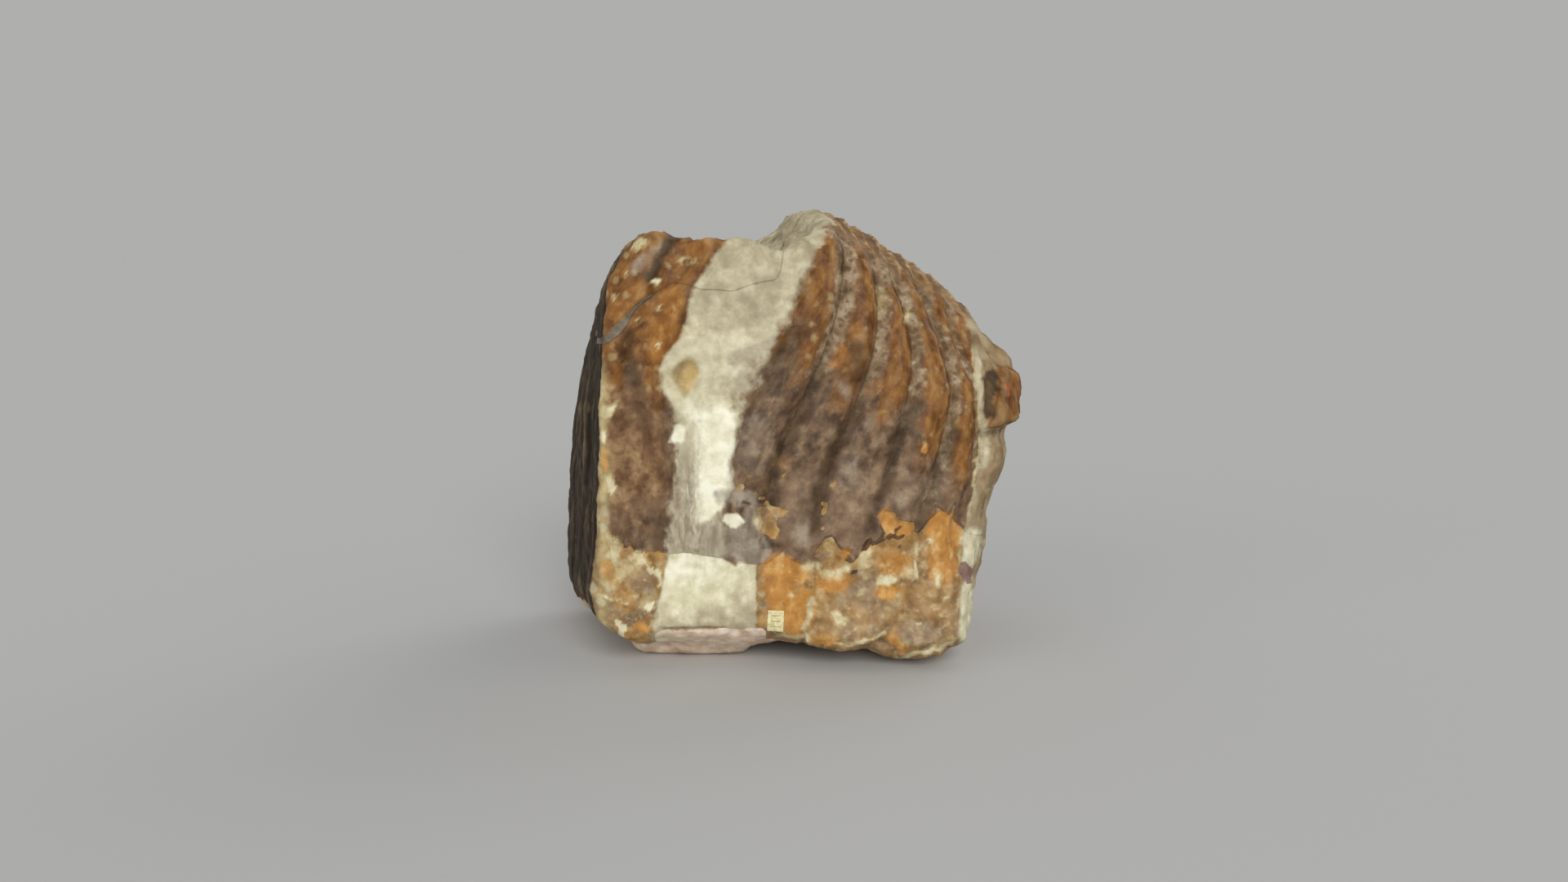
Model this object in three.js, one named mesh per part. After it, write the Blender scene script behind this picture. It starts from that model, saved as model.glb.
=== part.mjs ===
// A broken block of a fossil mammoth molar, standing on the stumps of its roots. The crown is a row of
// upright enamel plates bound in cement, so its two long sides are ribbed from root to chewing surface.
// A small paper number label is glued low on the front side.
//
// Units are millimetres. X runs along the tooth row, Y across the crown with the labelled side at -Y,
// Z is up. The origin is the middle of the block's bounding box, on the surface that it stands on.

import * as THREE from 'three';
import { mergeVertices } from 'three/addons/utils/BufferGeometryUtils.js';

// ---- driving dimensions ----

const FACETS = { perPlate: 4, leftEnd: 4, rightEnd: 7, across: 15, up: 25 };
const HALF = new THREE.Vector3(68, 42, 68);      // half sides of the box that is bent into the block
const EDGE_RADIUS = { left: 4, rightFoot: 5, rightTop: 13 };
const PLATE_SKEW = 17;                           // how far each plate runs to the left from front to back
const RIB = { front: 2.5, back: 2.3, top: 1.4 }; // height of the ribs on each face
const ROOT_FADE = { from: 24, to: 46 };          // the ribs rise out of the smooth root zone over this height
const LABEL = { width: 5.2, height: 7.2, thickness: 0.3, gap: 0.35, x: 0.3, z: 17.2, tilt: 0.05 };

// Slices across the crown. Each is an outline in X and Z, walked as four edges that share their corners.
const FRONT = {
    y: -42,
    left: [[-58, 16], [-59, 26], [-57.5, 60], [-56, 92], [-55, 112], [-54.5, 122], [-51, 132]],
    right: [[62, 10], [63, 28], [64, 44], [65.5, 58], [67, 72], [67, 88], [66, 99], [63, 107]],
    bottom: [[-58, 16], [-50, 11], [-42, 9.5], [-35, 13], [-23, 13.5], [-6, 13], [2, 11.5], [10, 8],
        [22, 5], [30, 7], [39, 4.5], [53, 6], [62, 10]],
    top: [[-51, 132], [-45, 140], [-37, 142], [-30, 140.5], [-22, 138.5], [-15, 141], [-8, 140.5],
        [2, 136], [10, 139.5], [17, 139], [26, 134], [37, 128], [48, 120], [56, 113], [63, 107]],
};
const MIDDLE = {
    y: 0,
    left: [[-67, 13], [-70, 24], [-68.5, 50], [-66, 80], [-62, 106], [-59, 120], [-54, 129]],
    right: [[62, 5], [67.5, 16], [69, 30], [72, 44], [75.5, 58], [77, 68], [76, 84], [75, 97], [72.5, 109]],
    bottom: [[-67, 13], [-58, 7], [-50, 1], [-40, -3], [-22, -4], [-10, -1], [1, 6], [12, 8], [22, 5],
        [33, -2], [46, -4], [55, 0], [62, 5]],
    top: [[-54, 129], [-46, 137], [-36, 137], [-24, 134], [-10, 133], [-2, 136.5], [4, 143], [9, 148.5],
        [13, 149], [19, 147], [25, 143.5], [31, 139.5], [41, 134], [50, 128.5], [58, 122.5], [65.5, 116],
        [72.5, 109]],
};
const BACK = {
    y: 42,
    left: [[-77, 10], [-80, 18], [-78.5, 40], [-77, 64], [-74, 86], [-67, 106], [-59, 119]],
    right: [[54, 6], [58, 24], [60, 48], [60, 74], [57, 94], [51, 106]],
    bottom: [[-77, 10], [-62, 5], [-46, 0], [-30, -1], [-14, 2], [2, 6], [18, 3], [34, -1], [45, 1],
        [54, 6]],
    top: [[-59, 119], [-50, 128], [-36, 131], [-18, 132], [-4, 136], [8, 139], [22, 136], [36, 126],
        [44, 116], [51, 106]],
};

// Cement grooves between the plates, as seen from the front. Each leans over from its foot, at x = foot and
// z = low, to its head, at x = head and z = high, and curls back to the left above that.
const GROOVES = [
    { foot: -62, head: -46, low: 98, high: 142, curl: 0 },
    { foot: -46.5, head: -30, low: 96, high: 142, curl: 0 },
    { foot: -33.5, head: -15, low: 90, high: 141, curl: 0 },
    { foot: -23, head: 0, low: 72, high: 141, curl: 0 },
    { foot: -13.5, head: 13, low: 58, high: 141, curl: 0 },
    { foot: -3, head: 22.5, low: 48, high: 131, curl: 0 },
    { foot: 14, head: 34, low: 44, high: 120, curl: 0.006 },
    { foot: 31.5, head: 44.5, low: 40, high: 106, curl: 0.009 },
    { foot: 44.5, head: 57.5, low: 38, high: 94, curl: 0.013 },
    { foot: 60, head: 67, low: 34, high: 82, curl: 0.012 },
    { foot: 76, head: 80, low: 34, high: 82, curl: 0.012 },
];
const CURL_HEIGHT = 20;                          // a groove curls back over this height and no further
const FACETED = { first: 1, last: 8 };           // the grooves that the rows of facets follow
const CEMENT_COVER = { left: 2, right: 4 };      // the grooves that the smooth cement on the front spans

// ---- small helpers ----

const lerp = THREE.MathUtils.lerp;
const smooth = (low, high, value) => THREE.MathUtils.smoothstep(value, low, high);

// 1 at the middle of a soft-edged round or oval spot, falling to 0 at its rim.
const spot = (dx, dy, radiusX, radiusY) =>
    smooth(0, 1, Math.max(0, 1 - Math.hypot(dx / radiusX, dy / radiusY)));

// 1 between low and high, falling to 0 over a width of soft outside them.
const band = (value, low, high, soft) =>
    smooth(low - soft, low, value) * (1 - smooth(high, high + soft, value));

// Broad, even lumps with a wavelength of about 6 times scale, from crossed waves that never line up.
function lumps(x, y, z, scale) {
    const a = Math.sin(x / scale + 1.3 * Math.sin(z / scale / 1.7 + 0.4));
    const b = Math.sin(y / scale * 1.1 + 1.1 * Math.sin(x / scale / 1.9 + 2.1));
    const c = Math.sin(z / scale * 0.9 + 1.2 * Math.sin(y / scale / 1.5 + 4.2));
    return (a * b + b * c + c * a) / 3;
}

// ---- plates and grooves ----

function grooveX(groove, z) {
    const lean = smooth(groove.low, groove.high, z);
    const above = THREE.MathUtils.clamp(z - groove.high, 0, CURL_HEIGHT);
    return lerp(groove.foot, groove.head, lean) - groove.curl * above ** 2;
}

// How far the plates have run to the left at a depth of y into the crown.
const skewAt = (y) => PLATE_SKEW * (y - FRONT.y) / (BACK.y - FRONT.y);

// 0 in a cement groove, rising to 1 on the crest of the plate to its right, which drops steeply at its
// far side.
function ribShape(point) {
    const x = point.x + skewAt(point.y);
    const xs = GROOVES.map((groove) => grooveX(groove, point.z));
    const right = xs.findIndex((grooveAt) => x < grooveAt);
    if (right < 1) {
        return 0;
    }
    const across = (x - xs[right - 1]) / (xs[right] - xs[right - 1]);
    return smooth(-0.1, 0.7, across) * (1 - smooth(0.82, 1.02, across));
}

// The smooth cement that hides the plates between the two exposed groups on the front.
function cementCover(point) {
    const left = grooveX(GROOVES[CEMENT_COVER.left], point.z);
    const right = grooveX(GROOVES[CEMENT_COVER.right], point.z);
    return smooth(left - 2, left + 3, point.x) * (1 - smooth(right - 4, right + 1, point.x));
}

// ---- the block without its relief ----

function outlineCurve(points) {
    return new THREE.SplineCurve(points.map(([x, z]) => new THREE.Vector2(x, z)));
}

function makeSlice({ y, left, right, bottom, top }) {
    const edges = [left, right, bottom, top].map(outlineCurve);
    return { y, left: edges[0], right: edges[1], bottom: edges[2], top: edges[3] };
}

const SLICES = [FRONT, MIDDLE, BACK].map(makeSlice);

// A point inside a slice's outline, s from its left to its right edge and t from its bottom to its top.
function pointInSlice(slice, s, t) {
    const left = slice.left.getPointAt(t);
    const right = slice.right.getPointAt(t);
    const bottom = slice.bottom.getPointAt(s);
    const top = slice.top.getPointAt(s);
    const [low, high] = [slice.left, slice.right].map((edge) => [edge.getPointAt(0), edge.getPointAt(1)]);
    const blend = (axis) => lerp(left[axis], right[axis], s) + lerp(bottom[axis], top[axis], t)
        - lerp(lerp(low[0][axis], high[0][axis], s), lerp(low[1][axis], high[1][axis], s), t);
    return { x: blend('x'), z: blend('y') };
}

// Where along a slice a groove lies at height t, found by halving.
function grooveInSlice(slice, groove, t) {
    let [low, high] = [0, 1];
    for (let step = 0; step < 12; step += 1) {
        const middle = (low + high) / 2;
        const { x, z } = pointInSlice(slice, middle, t);
        if (x + skewAt(slice.y) < grooveX(groove, z)) {
            low = middle;
        } else {
            high = middle;
        }
    }
    return (low + high) / 2;
}

// Columns of facets follow the grooves: the share of all columns to the left of each groove, with both
// ends.
const COLUMNS = FACETS.leftEnd + (FACETED.last - FACETED.first) * FACETS.perPlate + FACETS.rightEnd;
const followed = GROOVES.slice(FACETED.first, FACETED.last + 1);
const columnShares = [0, ...followed.map((_, i) => (FACETS.leftEnd + i * FACETS.perPlate) / COLUMNS), 1];
const stopsCache = new Map();

function columnStops(slice, t) {
    const key = `${slice.y} ${t.toFixed(4)}`;
    if (!stopsCache.has(key)) {
        stopsCache.set(key, [0, ...followed.map((groove) => grooveInSlice(slice, groove, t)), 1]);
    }
    return stopsCache.get(key);
}

// The place s along a slice of the column that has the share c of all columns to its left.
function columnInSlice(slice, c, t) {
    const stops = columnStops(slice, t);
    const right = Math.max(1, columnShares.findIndex((share) => c <= share + 1e-9));
    const across = (c - columnShares[right - 1]) / (columnShares[right] - columnShares[right - 1]);
    return lerp(stops[right - 1], stops[right], across);
}

// The front side rolls back towards the right end and towards the slope at its top right.
function frontRollBack(s, t) {
    const corner = 9 * smooth(0.74, 1, s) ** 2 * smooth(0.05, 0.4, t);
    const slope = 15 * smooth(0.62, 1, t) ** 2 * smooth(0.45, 0.9, s);
    const leftTop = 5 * smooth(0.8, 1, t) ** 2 * (1 - smooth(0, 0.3, s));
    return corner + slope + leftTop;
}

function blockPoint(c, v, t) {
    const places = SLICES.map((slice) => columnInSlice(slice, c, t));
    const [front, middle, back] = SLICES.map((slice, i) => pointInSlice(slice, places[i], t));
    // a parabola through the three slices
    const mix = (a, b, far) => b + v * (far - a) / 2 + v * v * ((a + far) / 2 - b);
    const y = mix(FRONT.y + frontRollBack(places[0], t), MIDDLE.y, BACK.y - 6 * smooth(0.6, 1, t) ** 2);
    return new THREE.Vector3(mix(front.x, middle.x, back.x), y, mix(front.z, middle.z, back.z));
}

// Turns a point on the box into one on the same box with its edges rounded.
function roundEdges(point) {
    const right = lerp(EDGE_RADIUS.rightFoot, EDGE_RADIUS.rightTop, smooth(-HALF.z, HALF.z, point.z));
    const radius = lerp(EDGE_RADIUS.left, right, smooth(-HALF.x, HALF.x, point.x));
    const inner = HALF.clone().addScalar(-radius);
    const core = point.clone().clamp(inner.clone().negate(), inner);
    const out = point.clone().sub(core);
    return core.add(out.setLength(Math.min(out.length(), radius)));
}

// ---- relief ----

function frontRelief(p) {
    const fade = smooth(ROOT_FADE.from, ROOT_FADE.to, p.z);
    const cover = cementCover(p);
    const ribs = RIB.front * (ribShape(p) - 0.6) * fade * (1 - 0.85 * cover);
    const pit = -2 * spot(p.x + 29, p.z - 97, 7, 8);
    const cementSwell = 1.2 * cover * smooth(20, 60, p.z);
    const cementGutter = -1.6 * spot(p.x + 29, p.z - 62, 6, 45);
    const rootGroove = -2.2 * spot(p.x - 9.5, p.z - 12, 4.5, 24);
    return ribs + pit + cementSwell + cementGutter + rootGroove;
}

function backRelief(p) {
    const fade = 0.35 + 0.65 * smooth(ROOT_FADE.from, ROOT_FADE.to, p.z);
    const flake = -2.5 * spot(p.x + 30, p.z - 98, 34, 22);
    const hollow = -2 * spot(p.x - 22, p.z - 30, 26, 18);
    return RIB.back * (ribShape(p) - 0.6) * fade + flake + hollow;
}

// The chewing surface is worn hollow towards the front and broken to a step behind.
function topRelief(p) {
    const scoop = -3.5 * spot(p.x - 2, p.y + 20, 14, 18);
    const brokenStep = 2 * smooth(-6, 6, p.y - 0.5 * p.x - 12) * (1 - smooth(4, 20, p.x));
    return RIB.top * (ribShape(p) - 0.5) + scoop + brokenStep;
}

// The left end broke along a plate, which leaves it flat across and finely fluted upright.
function leftEndRelief(p) {
    const flutes = 0.8 * Math.sin(p.y / 3.1 + 0.8 * Math.sin(p.z / 21));
    const ledge = 1.3 * smooth(2, 12, p.y - 0.25 * p.z + 12) - 0.9;
    const chip = -2.5 * spot(p.y + 8, p.z - 112, 18, 16);
    return flutes + ledge + chip;
}

// The right end keeps its cement, with one plate standing out of it near the top.
function rightEndRelief(p) {
    const proud = (5 - 4 * smooth(84, 108, p.z)) * band(p.z, 79.5, 104, 3.5) * band(p.y, -27, -6, 5);
    const second = 2.2 * band(p.z, 46, 96, 10) * band(p.y, 10, 24, 7);
    const knuckles = 1.6 * lumps(p.x, p.y, p.z + 6, 5.5);
    return proud + second + knuckles;
}

// Two groups of root stumps reach the ground, and the pulp hollow between them arches up.
function undersideRelief(p) {
    const frontStump = 6 * band(p.x, -44, -13, 5) * band(p.y, -20, -8, 4);
    const pulpLeft = -5 * spot(p.x + 48, p.y - 6, 12, 20);
    const pulpSmall = -4 * spot(p.x + 20, p.y - 12, 10, 9);
    const pulpRight = -4 * spot(p.x - 44, p.y - 16, 9, 11);
    return frontStump + pulpLeft + pulpSmall + pulpRight;
}

function relief(p, normal) {
    const facing = (amount) => smooth(0.25, 0.8, amount);
    const nearLabel = facing(-normal.y) * spot(p.x - LABEL.x, p.z - LABEL.z, 14, 16);
    return facing(-normal.y) * frontRelief(p)
        + facing(normal.y) * backRelief(p)
        + facing(normal.z) * topRelief(p)
        + facing(-normal.z) * undersideRelief(p)
        + facing(-normal.x) * leftEndRelief(p)
        + facing(normal.x) * rightEndRelief(p)
        + 0.7 * lumps(p.x, p.y, p.z, 4.6) * (1 - nearLabel);
}

// ---- the molar ----

function makeMolarGeometry() {
    const [length, width, height] = HALF.clone().multiplyScalar(2);
    const box = new THREE.BoxGeometry(length, width, height, COLUMNS, FACETS.across, FACETS.up);
    box.deleteAttribute('normal');
    box.deleteAttribute('uv');
    const geometry = mergeVertices(box);
    const position = geometry.getAttribute('position');
    const point = new THREE.Vector3();

    for (let i = 0; i < position.count; i += 1) {
        point.fromBufferAttribute(position, i);
        const round = roundEdges(point).divide(HALF);
        position.setXYZ(i, ...blockPoint((round.x + 1) / 2, round.y, (round.z + 1) / 2));
    }

    geometry.computeVertexNormals();
    const normals = geometry.getAttribute('normal').clone();
    const normal = new THREE.Vector3();
    for (let i = 0; i < position.count; i += 1) {
        point.fromBufferAttribute(position, i);
        normal.fromBufferAttribute(normals, i);
        point.addScaledVector(normal, relief(point, normal));
        position.setXYZ(i, point.x, point.y, Math.max(0, point.z));
    }
    geometry.computeVertexNormals();
    return geometry;
}

const molarGeometry = makeMolarGeometry();
const molar = new THREE.Mesh(
    molarGeometry,
    new THREE.MeshStandardMaterial({ color: 0x9a6a3c, roughness: 0.62, metalness: 0 }),
);
molar.name = 'molar';

// ---- the label ----

// The foremost point of the molar within reach of the label.
function frontNear(x, z, reach) {
    const position = molarGeometry.getAttribute('position');
    let foremost = 0;
    for (let i = 0; i < position.count; i += 1) {
        if (Math.abs(position.getX(i) - x) < reach && Math.abs(position.getZ(i) - z) < reach) {
            foremost = Math.min(foremost, position.getY(i));
        }
    }
    return foremost;
}

const label = new THREE.Mesh(
    new THREE.BoxGeometry(LABEL.width, LABEL.thickness, LABEL.height),
    new THREE.MeshStandardMaterial({ color: 0xece2a4, roughness: 0.85, metalness: 0 }),
);
label.name = 'number_label';
label.rotation.y = LABEL.tilt;
const labelY = frontNear(LABEL.x, LABEL.z, LABEL.height) - LABEL.gap - LABEL.thickness / 2;
label.position.set(LABEL.x, labelY, LABEL.z);

const fossil = new THREE.Group();
fossil.name = 'fossil_mammoth_molar';
fossil.add(molar, label);

export default fossil;
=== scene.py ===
"""A broken block of a fossil mammoth molar with a paper label, on a pale studio floor.

Laid out as an add-on: each piece is made by its own operator, from sizes and colours that its settings hold.
"""

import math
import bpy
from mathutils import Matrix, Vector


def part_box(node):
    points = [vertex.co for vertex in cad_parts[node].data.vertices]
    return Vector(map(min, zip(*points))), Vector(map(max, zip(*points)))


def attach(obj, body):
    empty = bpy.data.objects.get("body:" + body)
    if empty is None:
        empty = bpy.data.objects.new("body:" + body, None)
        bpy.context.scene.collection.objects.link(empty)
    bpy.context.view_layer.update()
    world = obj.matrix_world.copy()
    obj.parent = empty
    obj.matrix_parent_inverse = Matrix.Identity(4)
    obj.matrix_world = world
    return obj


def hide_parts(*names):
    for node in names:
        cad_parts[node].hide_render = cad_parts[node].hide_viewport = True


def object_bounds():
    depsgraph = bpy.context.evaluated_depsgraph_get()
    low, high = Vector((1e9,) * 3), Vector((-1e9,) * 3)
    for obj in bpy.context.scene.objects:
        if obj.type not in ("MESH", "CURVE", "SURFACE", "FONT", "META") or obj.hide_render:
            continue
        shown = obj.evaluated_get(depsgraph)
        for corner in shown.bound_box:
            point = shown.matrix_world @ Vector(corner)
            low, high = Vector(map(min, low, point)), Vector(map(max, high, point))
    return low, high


bl_info = {
    "name": "Fossil Mammoth Molar",
    "version": (1, 0, 0),
    "blender": (4, 5, 0),
    "location": "3D View > Sidebar > Fossil",
    "description": "Makes a broken block of a fossil mammoth molar with its label and a plain studio stage",
    "category": "Add Mesh",
}

from functools import partial

import bmesh
import bpy
import numpy as np
from bpy.props import FloatProperty, FloatVectorProperty, IntProperty, PointerProperty
from bpy.types import NodeSocket, Operator, Panel, PropertyGroup
from mathutils import Matrix, Vector, noise
from mathutils.bvhtree import BVHTree

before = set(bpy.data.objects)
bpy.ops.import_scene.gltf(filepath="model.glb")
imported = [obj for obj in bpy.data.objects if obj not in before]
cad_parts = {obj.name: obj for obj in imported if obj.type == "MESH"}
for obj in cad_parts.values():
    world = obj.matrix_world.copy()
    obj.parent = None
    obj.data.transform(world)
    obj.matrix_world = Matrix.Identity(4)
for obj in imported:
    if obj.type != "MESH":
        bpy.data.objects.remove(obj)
CAD_LOW, CAD_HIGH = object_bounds()

MM = 0.001  # metres in a millimetre; the tooth is shaped in millimetres
OFF = -9  # how far inside a patch a point counts as, in millimetres, where the patch can't be
NOWHERE = 99  # how far beside a groove's line a point counts as, in millimetres, where the line isn't drawn
FAR = 30  # how far from a line, or outside a stain, a point counts as, in millimetres, where there is none

# ---- where things are on the tooth, in millimetres ----

# The crown's plates. Each cement groove leans over from its foot, at x = foot and z = low, to its head, at
# x = head and z = high, and curls back to the left above that: (foot, head, low, high, curl).
GROOVES = (
    (-62, -46, 98, 142, 0),
    (-46.5, -30, 96, 142, 0),
    (-33.5, -15, 90, 141, 0),
    (-23, 0, 72, 141, 0),
    (-13.5, 13, 58, 141, 0),
    (-3, 22.5, 48, 131, 0),
    (14, 34, 44, 120, 0.006),
    (31.5, 44.5, 40, 106, 0.009),
    (44.5, 57.5, 38, 94, 0.013),
    (60, 67, 34, 82, 0.012),
    (76, 80, 34, 82, 0.012),
)
CURL_HEIGHT = 20
PLATE_SKEW = 17  # how far each plate runs to the left from the front side to the back
PLATE_SPACING = 13
FRONT_Y = -42
BACK_Y = 42
FOOT_HEIGHT = 0.05  # points below this keep their height, so that the tooth stands flat
RIDGES = (0.34, 0.86)  # where a plate's two enamel ridges stand on the crown, as shares of the way across it

# The pale strip of cement in each groove: how far it reaches left and right of the groove's line, and its
# lowest point on the front side. None where the groove stays under the cement band.
STRIPS = (None, None, None, None, None, (3.4, 4.8, 99), (1, 4.6, 92), (0.4, 4.2, 82),
          (0.3, 3.9, 58), (0.2, 2.6, 64), (0.2, 3, 50))
HIDDEN_STRIP = (1, 3, 90)  # the same for those, over the crown and on the back

# Edges of the smooth cement band on the front side, as (z, x) from its foot up.
CEMENT_LEFT = ((38, -34), (50, -32.5), (60, -31.5), (79, -30.5), (83, -31.5), (88, -33), (93, -35.5),
               (99, -36), (104.5, -33.5), (108, -30), (114.5, -27.5), (123.5, -25.5), (129, -22), (136, -17),
               (142, -12))
CEMENT_RIGHT = ((38, -18), (44, -16.5), (51, -17), (55.5, -17), (61, -13.5), (70, -13.5), (80, -12),
                (89, -10.5), (97, -7), (99.5, -6), (102, -4.5), (104.5, -4), (107, -1), (109.5, 1),
                (111.5, 1.5), (116, 4.5), (121, 7), (125.5, 9), (129.5, 11), (134, 13), (137.5, 14),
                (140.5, 15.5), (145, 18))
# How soft those edges are, as (z, softness).
CEMENT_LEFT_SOFT = ((45, 3), (75, 1.6), (100, 1))
CEMENT_RIGHT_SOFT = ((45, 3), (62, 1), (74, 1.2), (88, 4), (104, 4), (114, 3), (125, 3.5), (133, 2),
                     (140, 1.5))
# The block of cement that goes on below the band: its left edge, as (z, x), and its right edge.
BLOCK_LEFT = ((8, -40.5), (13, -39.5), (18.5, -38.5), (25, -37), (30.5, -35.5), (39.5, -34))
BLOCK_RIGHT = -6

BEHIND_PLATES = (2.2, 4.4)  # the band on the crown and the back lies between these, counted in plates
WHITEN = ((60, 0.5), (88, 0.7), (94, 0.75), (108, 0.7), (118, 0.3), (132, 0.1), (140, 0.2))  # (z, how pale)

# The lower edge of the dark film on the front side, as (x, z) from the left. The bare root shows below it.
FILM_EDGE = ((-62, 47), (-52.5, 50), (-51.5, 46), (-48, 41.5), (-44.5, 40), (-37, 40.5), (-33.5, 39.5),
             (-28, 40), (-22.5, 39), (-17, 38.5), (-12.5, 35), (-11, 36.5), (-3, 36), (1, 39), (3.5, 41),
             (3.5, 38.5), (9, 36), (13, 37), (13, 40.5), (16, 44.5), (18.5, 45), (21, 41), (24.5, 40.5),
             (22.5, 37), (25, 36.5), (28.5, 41), (29, 43), (30.5, 44.5), (31, 42), (35.5, 44), (34, 44.5),
             (35.5, 46), (34, 48.5), (35, 53.5), (39, 53), (39, 51), (44.5, 49.5), (44.5, 46.5), (46, 45.5),
             (49, 49.5), (52, 52), (51.5, 55), (53, 53.5), (56, 51), (57.5, 55), (57.5, 51.5), (58.5, 49),
             (63, 44), (72, 40))
BELOW_FILM = ((72, -20), (-62, -20))  # closes that edge into an outline, under the tooth

# A flake of bare ochre above that edge, and smaller ones as brush strokes.
FLAKE = ((-6, 54.5), (-5, 55), (2, 54.5), (5, 53.5), (2.5, 51), (1, 51.5), (0.5, 49), (2, 47), (0, 43.5),
         (-4, 46.5), (-5.5, 48.5), (-4.5, 50))
FLAKES = (
    (1, 0.5, 0.8, ((47, 72.5), (47.5, 75))),
    (1, 0.5, 0.8, ((15.5, 55.5), (15.5, 52))),
    (1, 0.4, 0.7, ((16, 47.5),)),
    (1, 0.6, 0.9, ((-12.5, 60.5), (-10.5, 61.5))),
    (0.9, 0.3, 0.8, ((-5.5, 59), (-3.5, 57), (-2, 55.5))),
    (0.9, 0.3, 0.7, ((3.5, 64.5), (4.5, 65.5))),
    (0.9, 0.3, 0.7, ((17.5, 61), (19.5, 62))),
)

# The worn cement of the right end begins here on the front side, as (z, x).
FLANK_FROM = ((8, 57.5), (22.5, 59.5), (32.5, 60), (42, 61), (50, 63), (58, 65), (69, 66), (77, 67),
              (85, 66), (92.5, 65), (106, 64.5), (110.5, 63.5), (113.5, 62), (118, 57.5), (121.5, 53))

# Patches on the cement band, as (x, z) outlines.
CHALK = ((-17.5, 88.5), (-14, 87), (-13, 84.5), (-12.5, 80), (-12.5, 77), (-13, 71.5), (-14.5, 70),
         (-14.5, 65.5), (-13, 61), (-15.5, 58.5), (-17, 54.5), (-21, 50.5), (-23.5, 50.5), (-24.5, 58),
         (-24.5, 65.5), (-23.5, 71), (-24.5, 76), (-23.5, 81), (-27.5, 85.5), (-19.5, 86))
CHALK_SPOT = ((-17, 50.5), (-16, 52.5), (-12, 52.5), (-9, 50), (-12.5, 47.5), (-14.5, 48))
PINK_SPOT = ((-31.5, 81), (-30, 81.5), (-28, 80), (-28, 76.5), (-29.5, 75.5), (-33.5, 75.5), (-32.5, 78))
PIT = ((-27, 103), (-25, 102), (-24, 100.5), (-23.5, 98), (-24, 95.5), (-27, 91.5), (-28, 90), (-29.5, 91),
       (-31.5, 93), (-33, 95), (-33, 97.5), (-31.5, 100), (-30, 102.5))

# The light rim along the left edge of the front side reaches this far in, as (z, x).
RIM_REACH = ((20, -54), (36, -51.5), (50, -52.5), (55, -52), (62, -51), (70, -51.5), (76, -53), (81, -51.5),
             (86, -50.5), (88, -52.5), (97, -52), (104, -53.5), (110, -56))

# The worn end of the plate that stands proud of the right end: its left edge on the front side, as (z, x),
# its lowest and highest points, and its outline seen from the right, as (y, z).
PROUD_LEFT = ((79, 69.5), (82, 70.5), (83.5, 71), (90, 72.5), (95, 73.5), (99.5, 74))
PROUD_HEIGHTS = (79, 102)
PROUD_PLATE = ((-60, 79), (-34, 78.5), (-22, 80), (-13, 84), (-9, 90), (-13, 95), (-20, 97), (-28, 101),
               (-60, 106))

# The height above which the plates keep their rust colour on the front side, as (x, z).
RUST_LOW = ((-60, 92), (-40, 92), (-25, 96), (-8, 104), (5, 104), (18, 100), (30, 94), (42, 86), (55, 71),
            (66, 58))

# The crack across the top left corner: its upper and lower lips where it gapes, then the hairline beyond.
CRACK_UPPER = ((-55, 108), (-53, 109), (-50, 112), (-47, 115), (-43, 119), (-39, 122), (-37.5, 123))
CRACK_LOWER = ((-55, 106), (-52.5, 106.5), (-48.5, 109.5), (-46, 112.5), (-44.5, 115.5), (-41.5, 119),
               (-38.5, 121), (-37.5, 122.5))
HAIRLINE = ((-34.5, 124), (-32, 125.5), (-29.5, 125.5), (-27, 125), (-22.5, 123.5), (-18, 123.5), (-13, 123),
            (-7.5, 125), (-3.5, 126), (0.5, 126.5), (2, 129.5), (2.5, 133), (3, 137))
GAPE_END = -37  # the x where the lips meet
# It goes on over the crown, as (x, y), and down the left end, as (y, z).
CRACK_CROWN = ((3, -42), (0.5, -33), (-3, -26), (-2, -18), (-8, -10), (-17, -3), (-26, 1), (-36, -1),
               (-47, 4), (-62, 3))
CRACK_END = ((-44, 106), (-35, 110), (-27, 108), (-17, 114), (-9, 124), (-2, 129), (3, 142))

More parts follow.
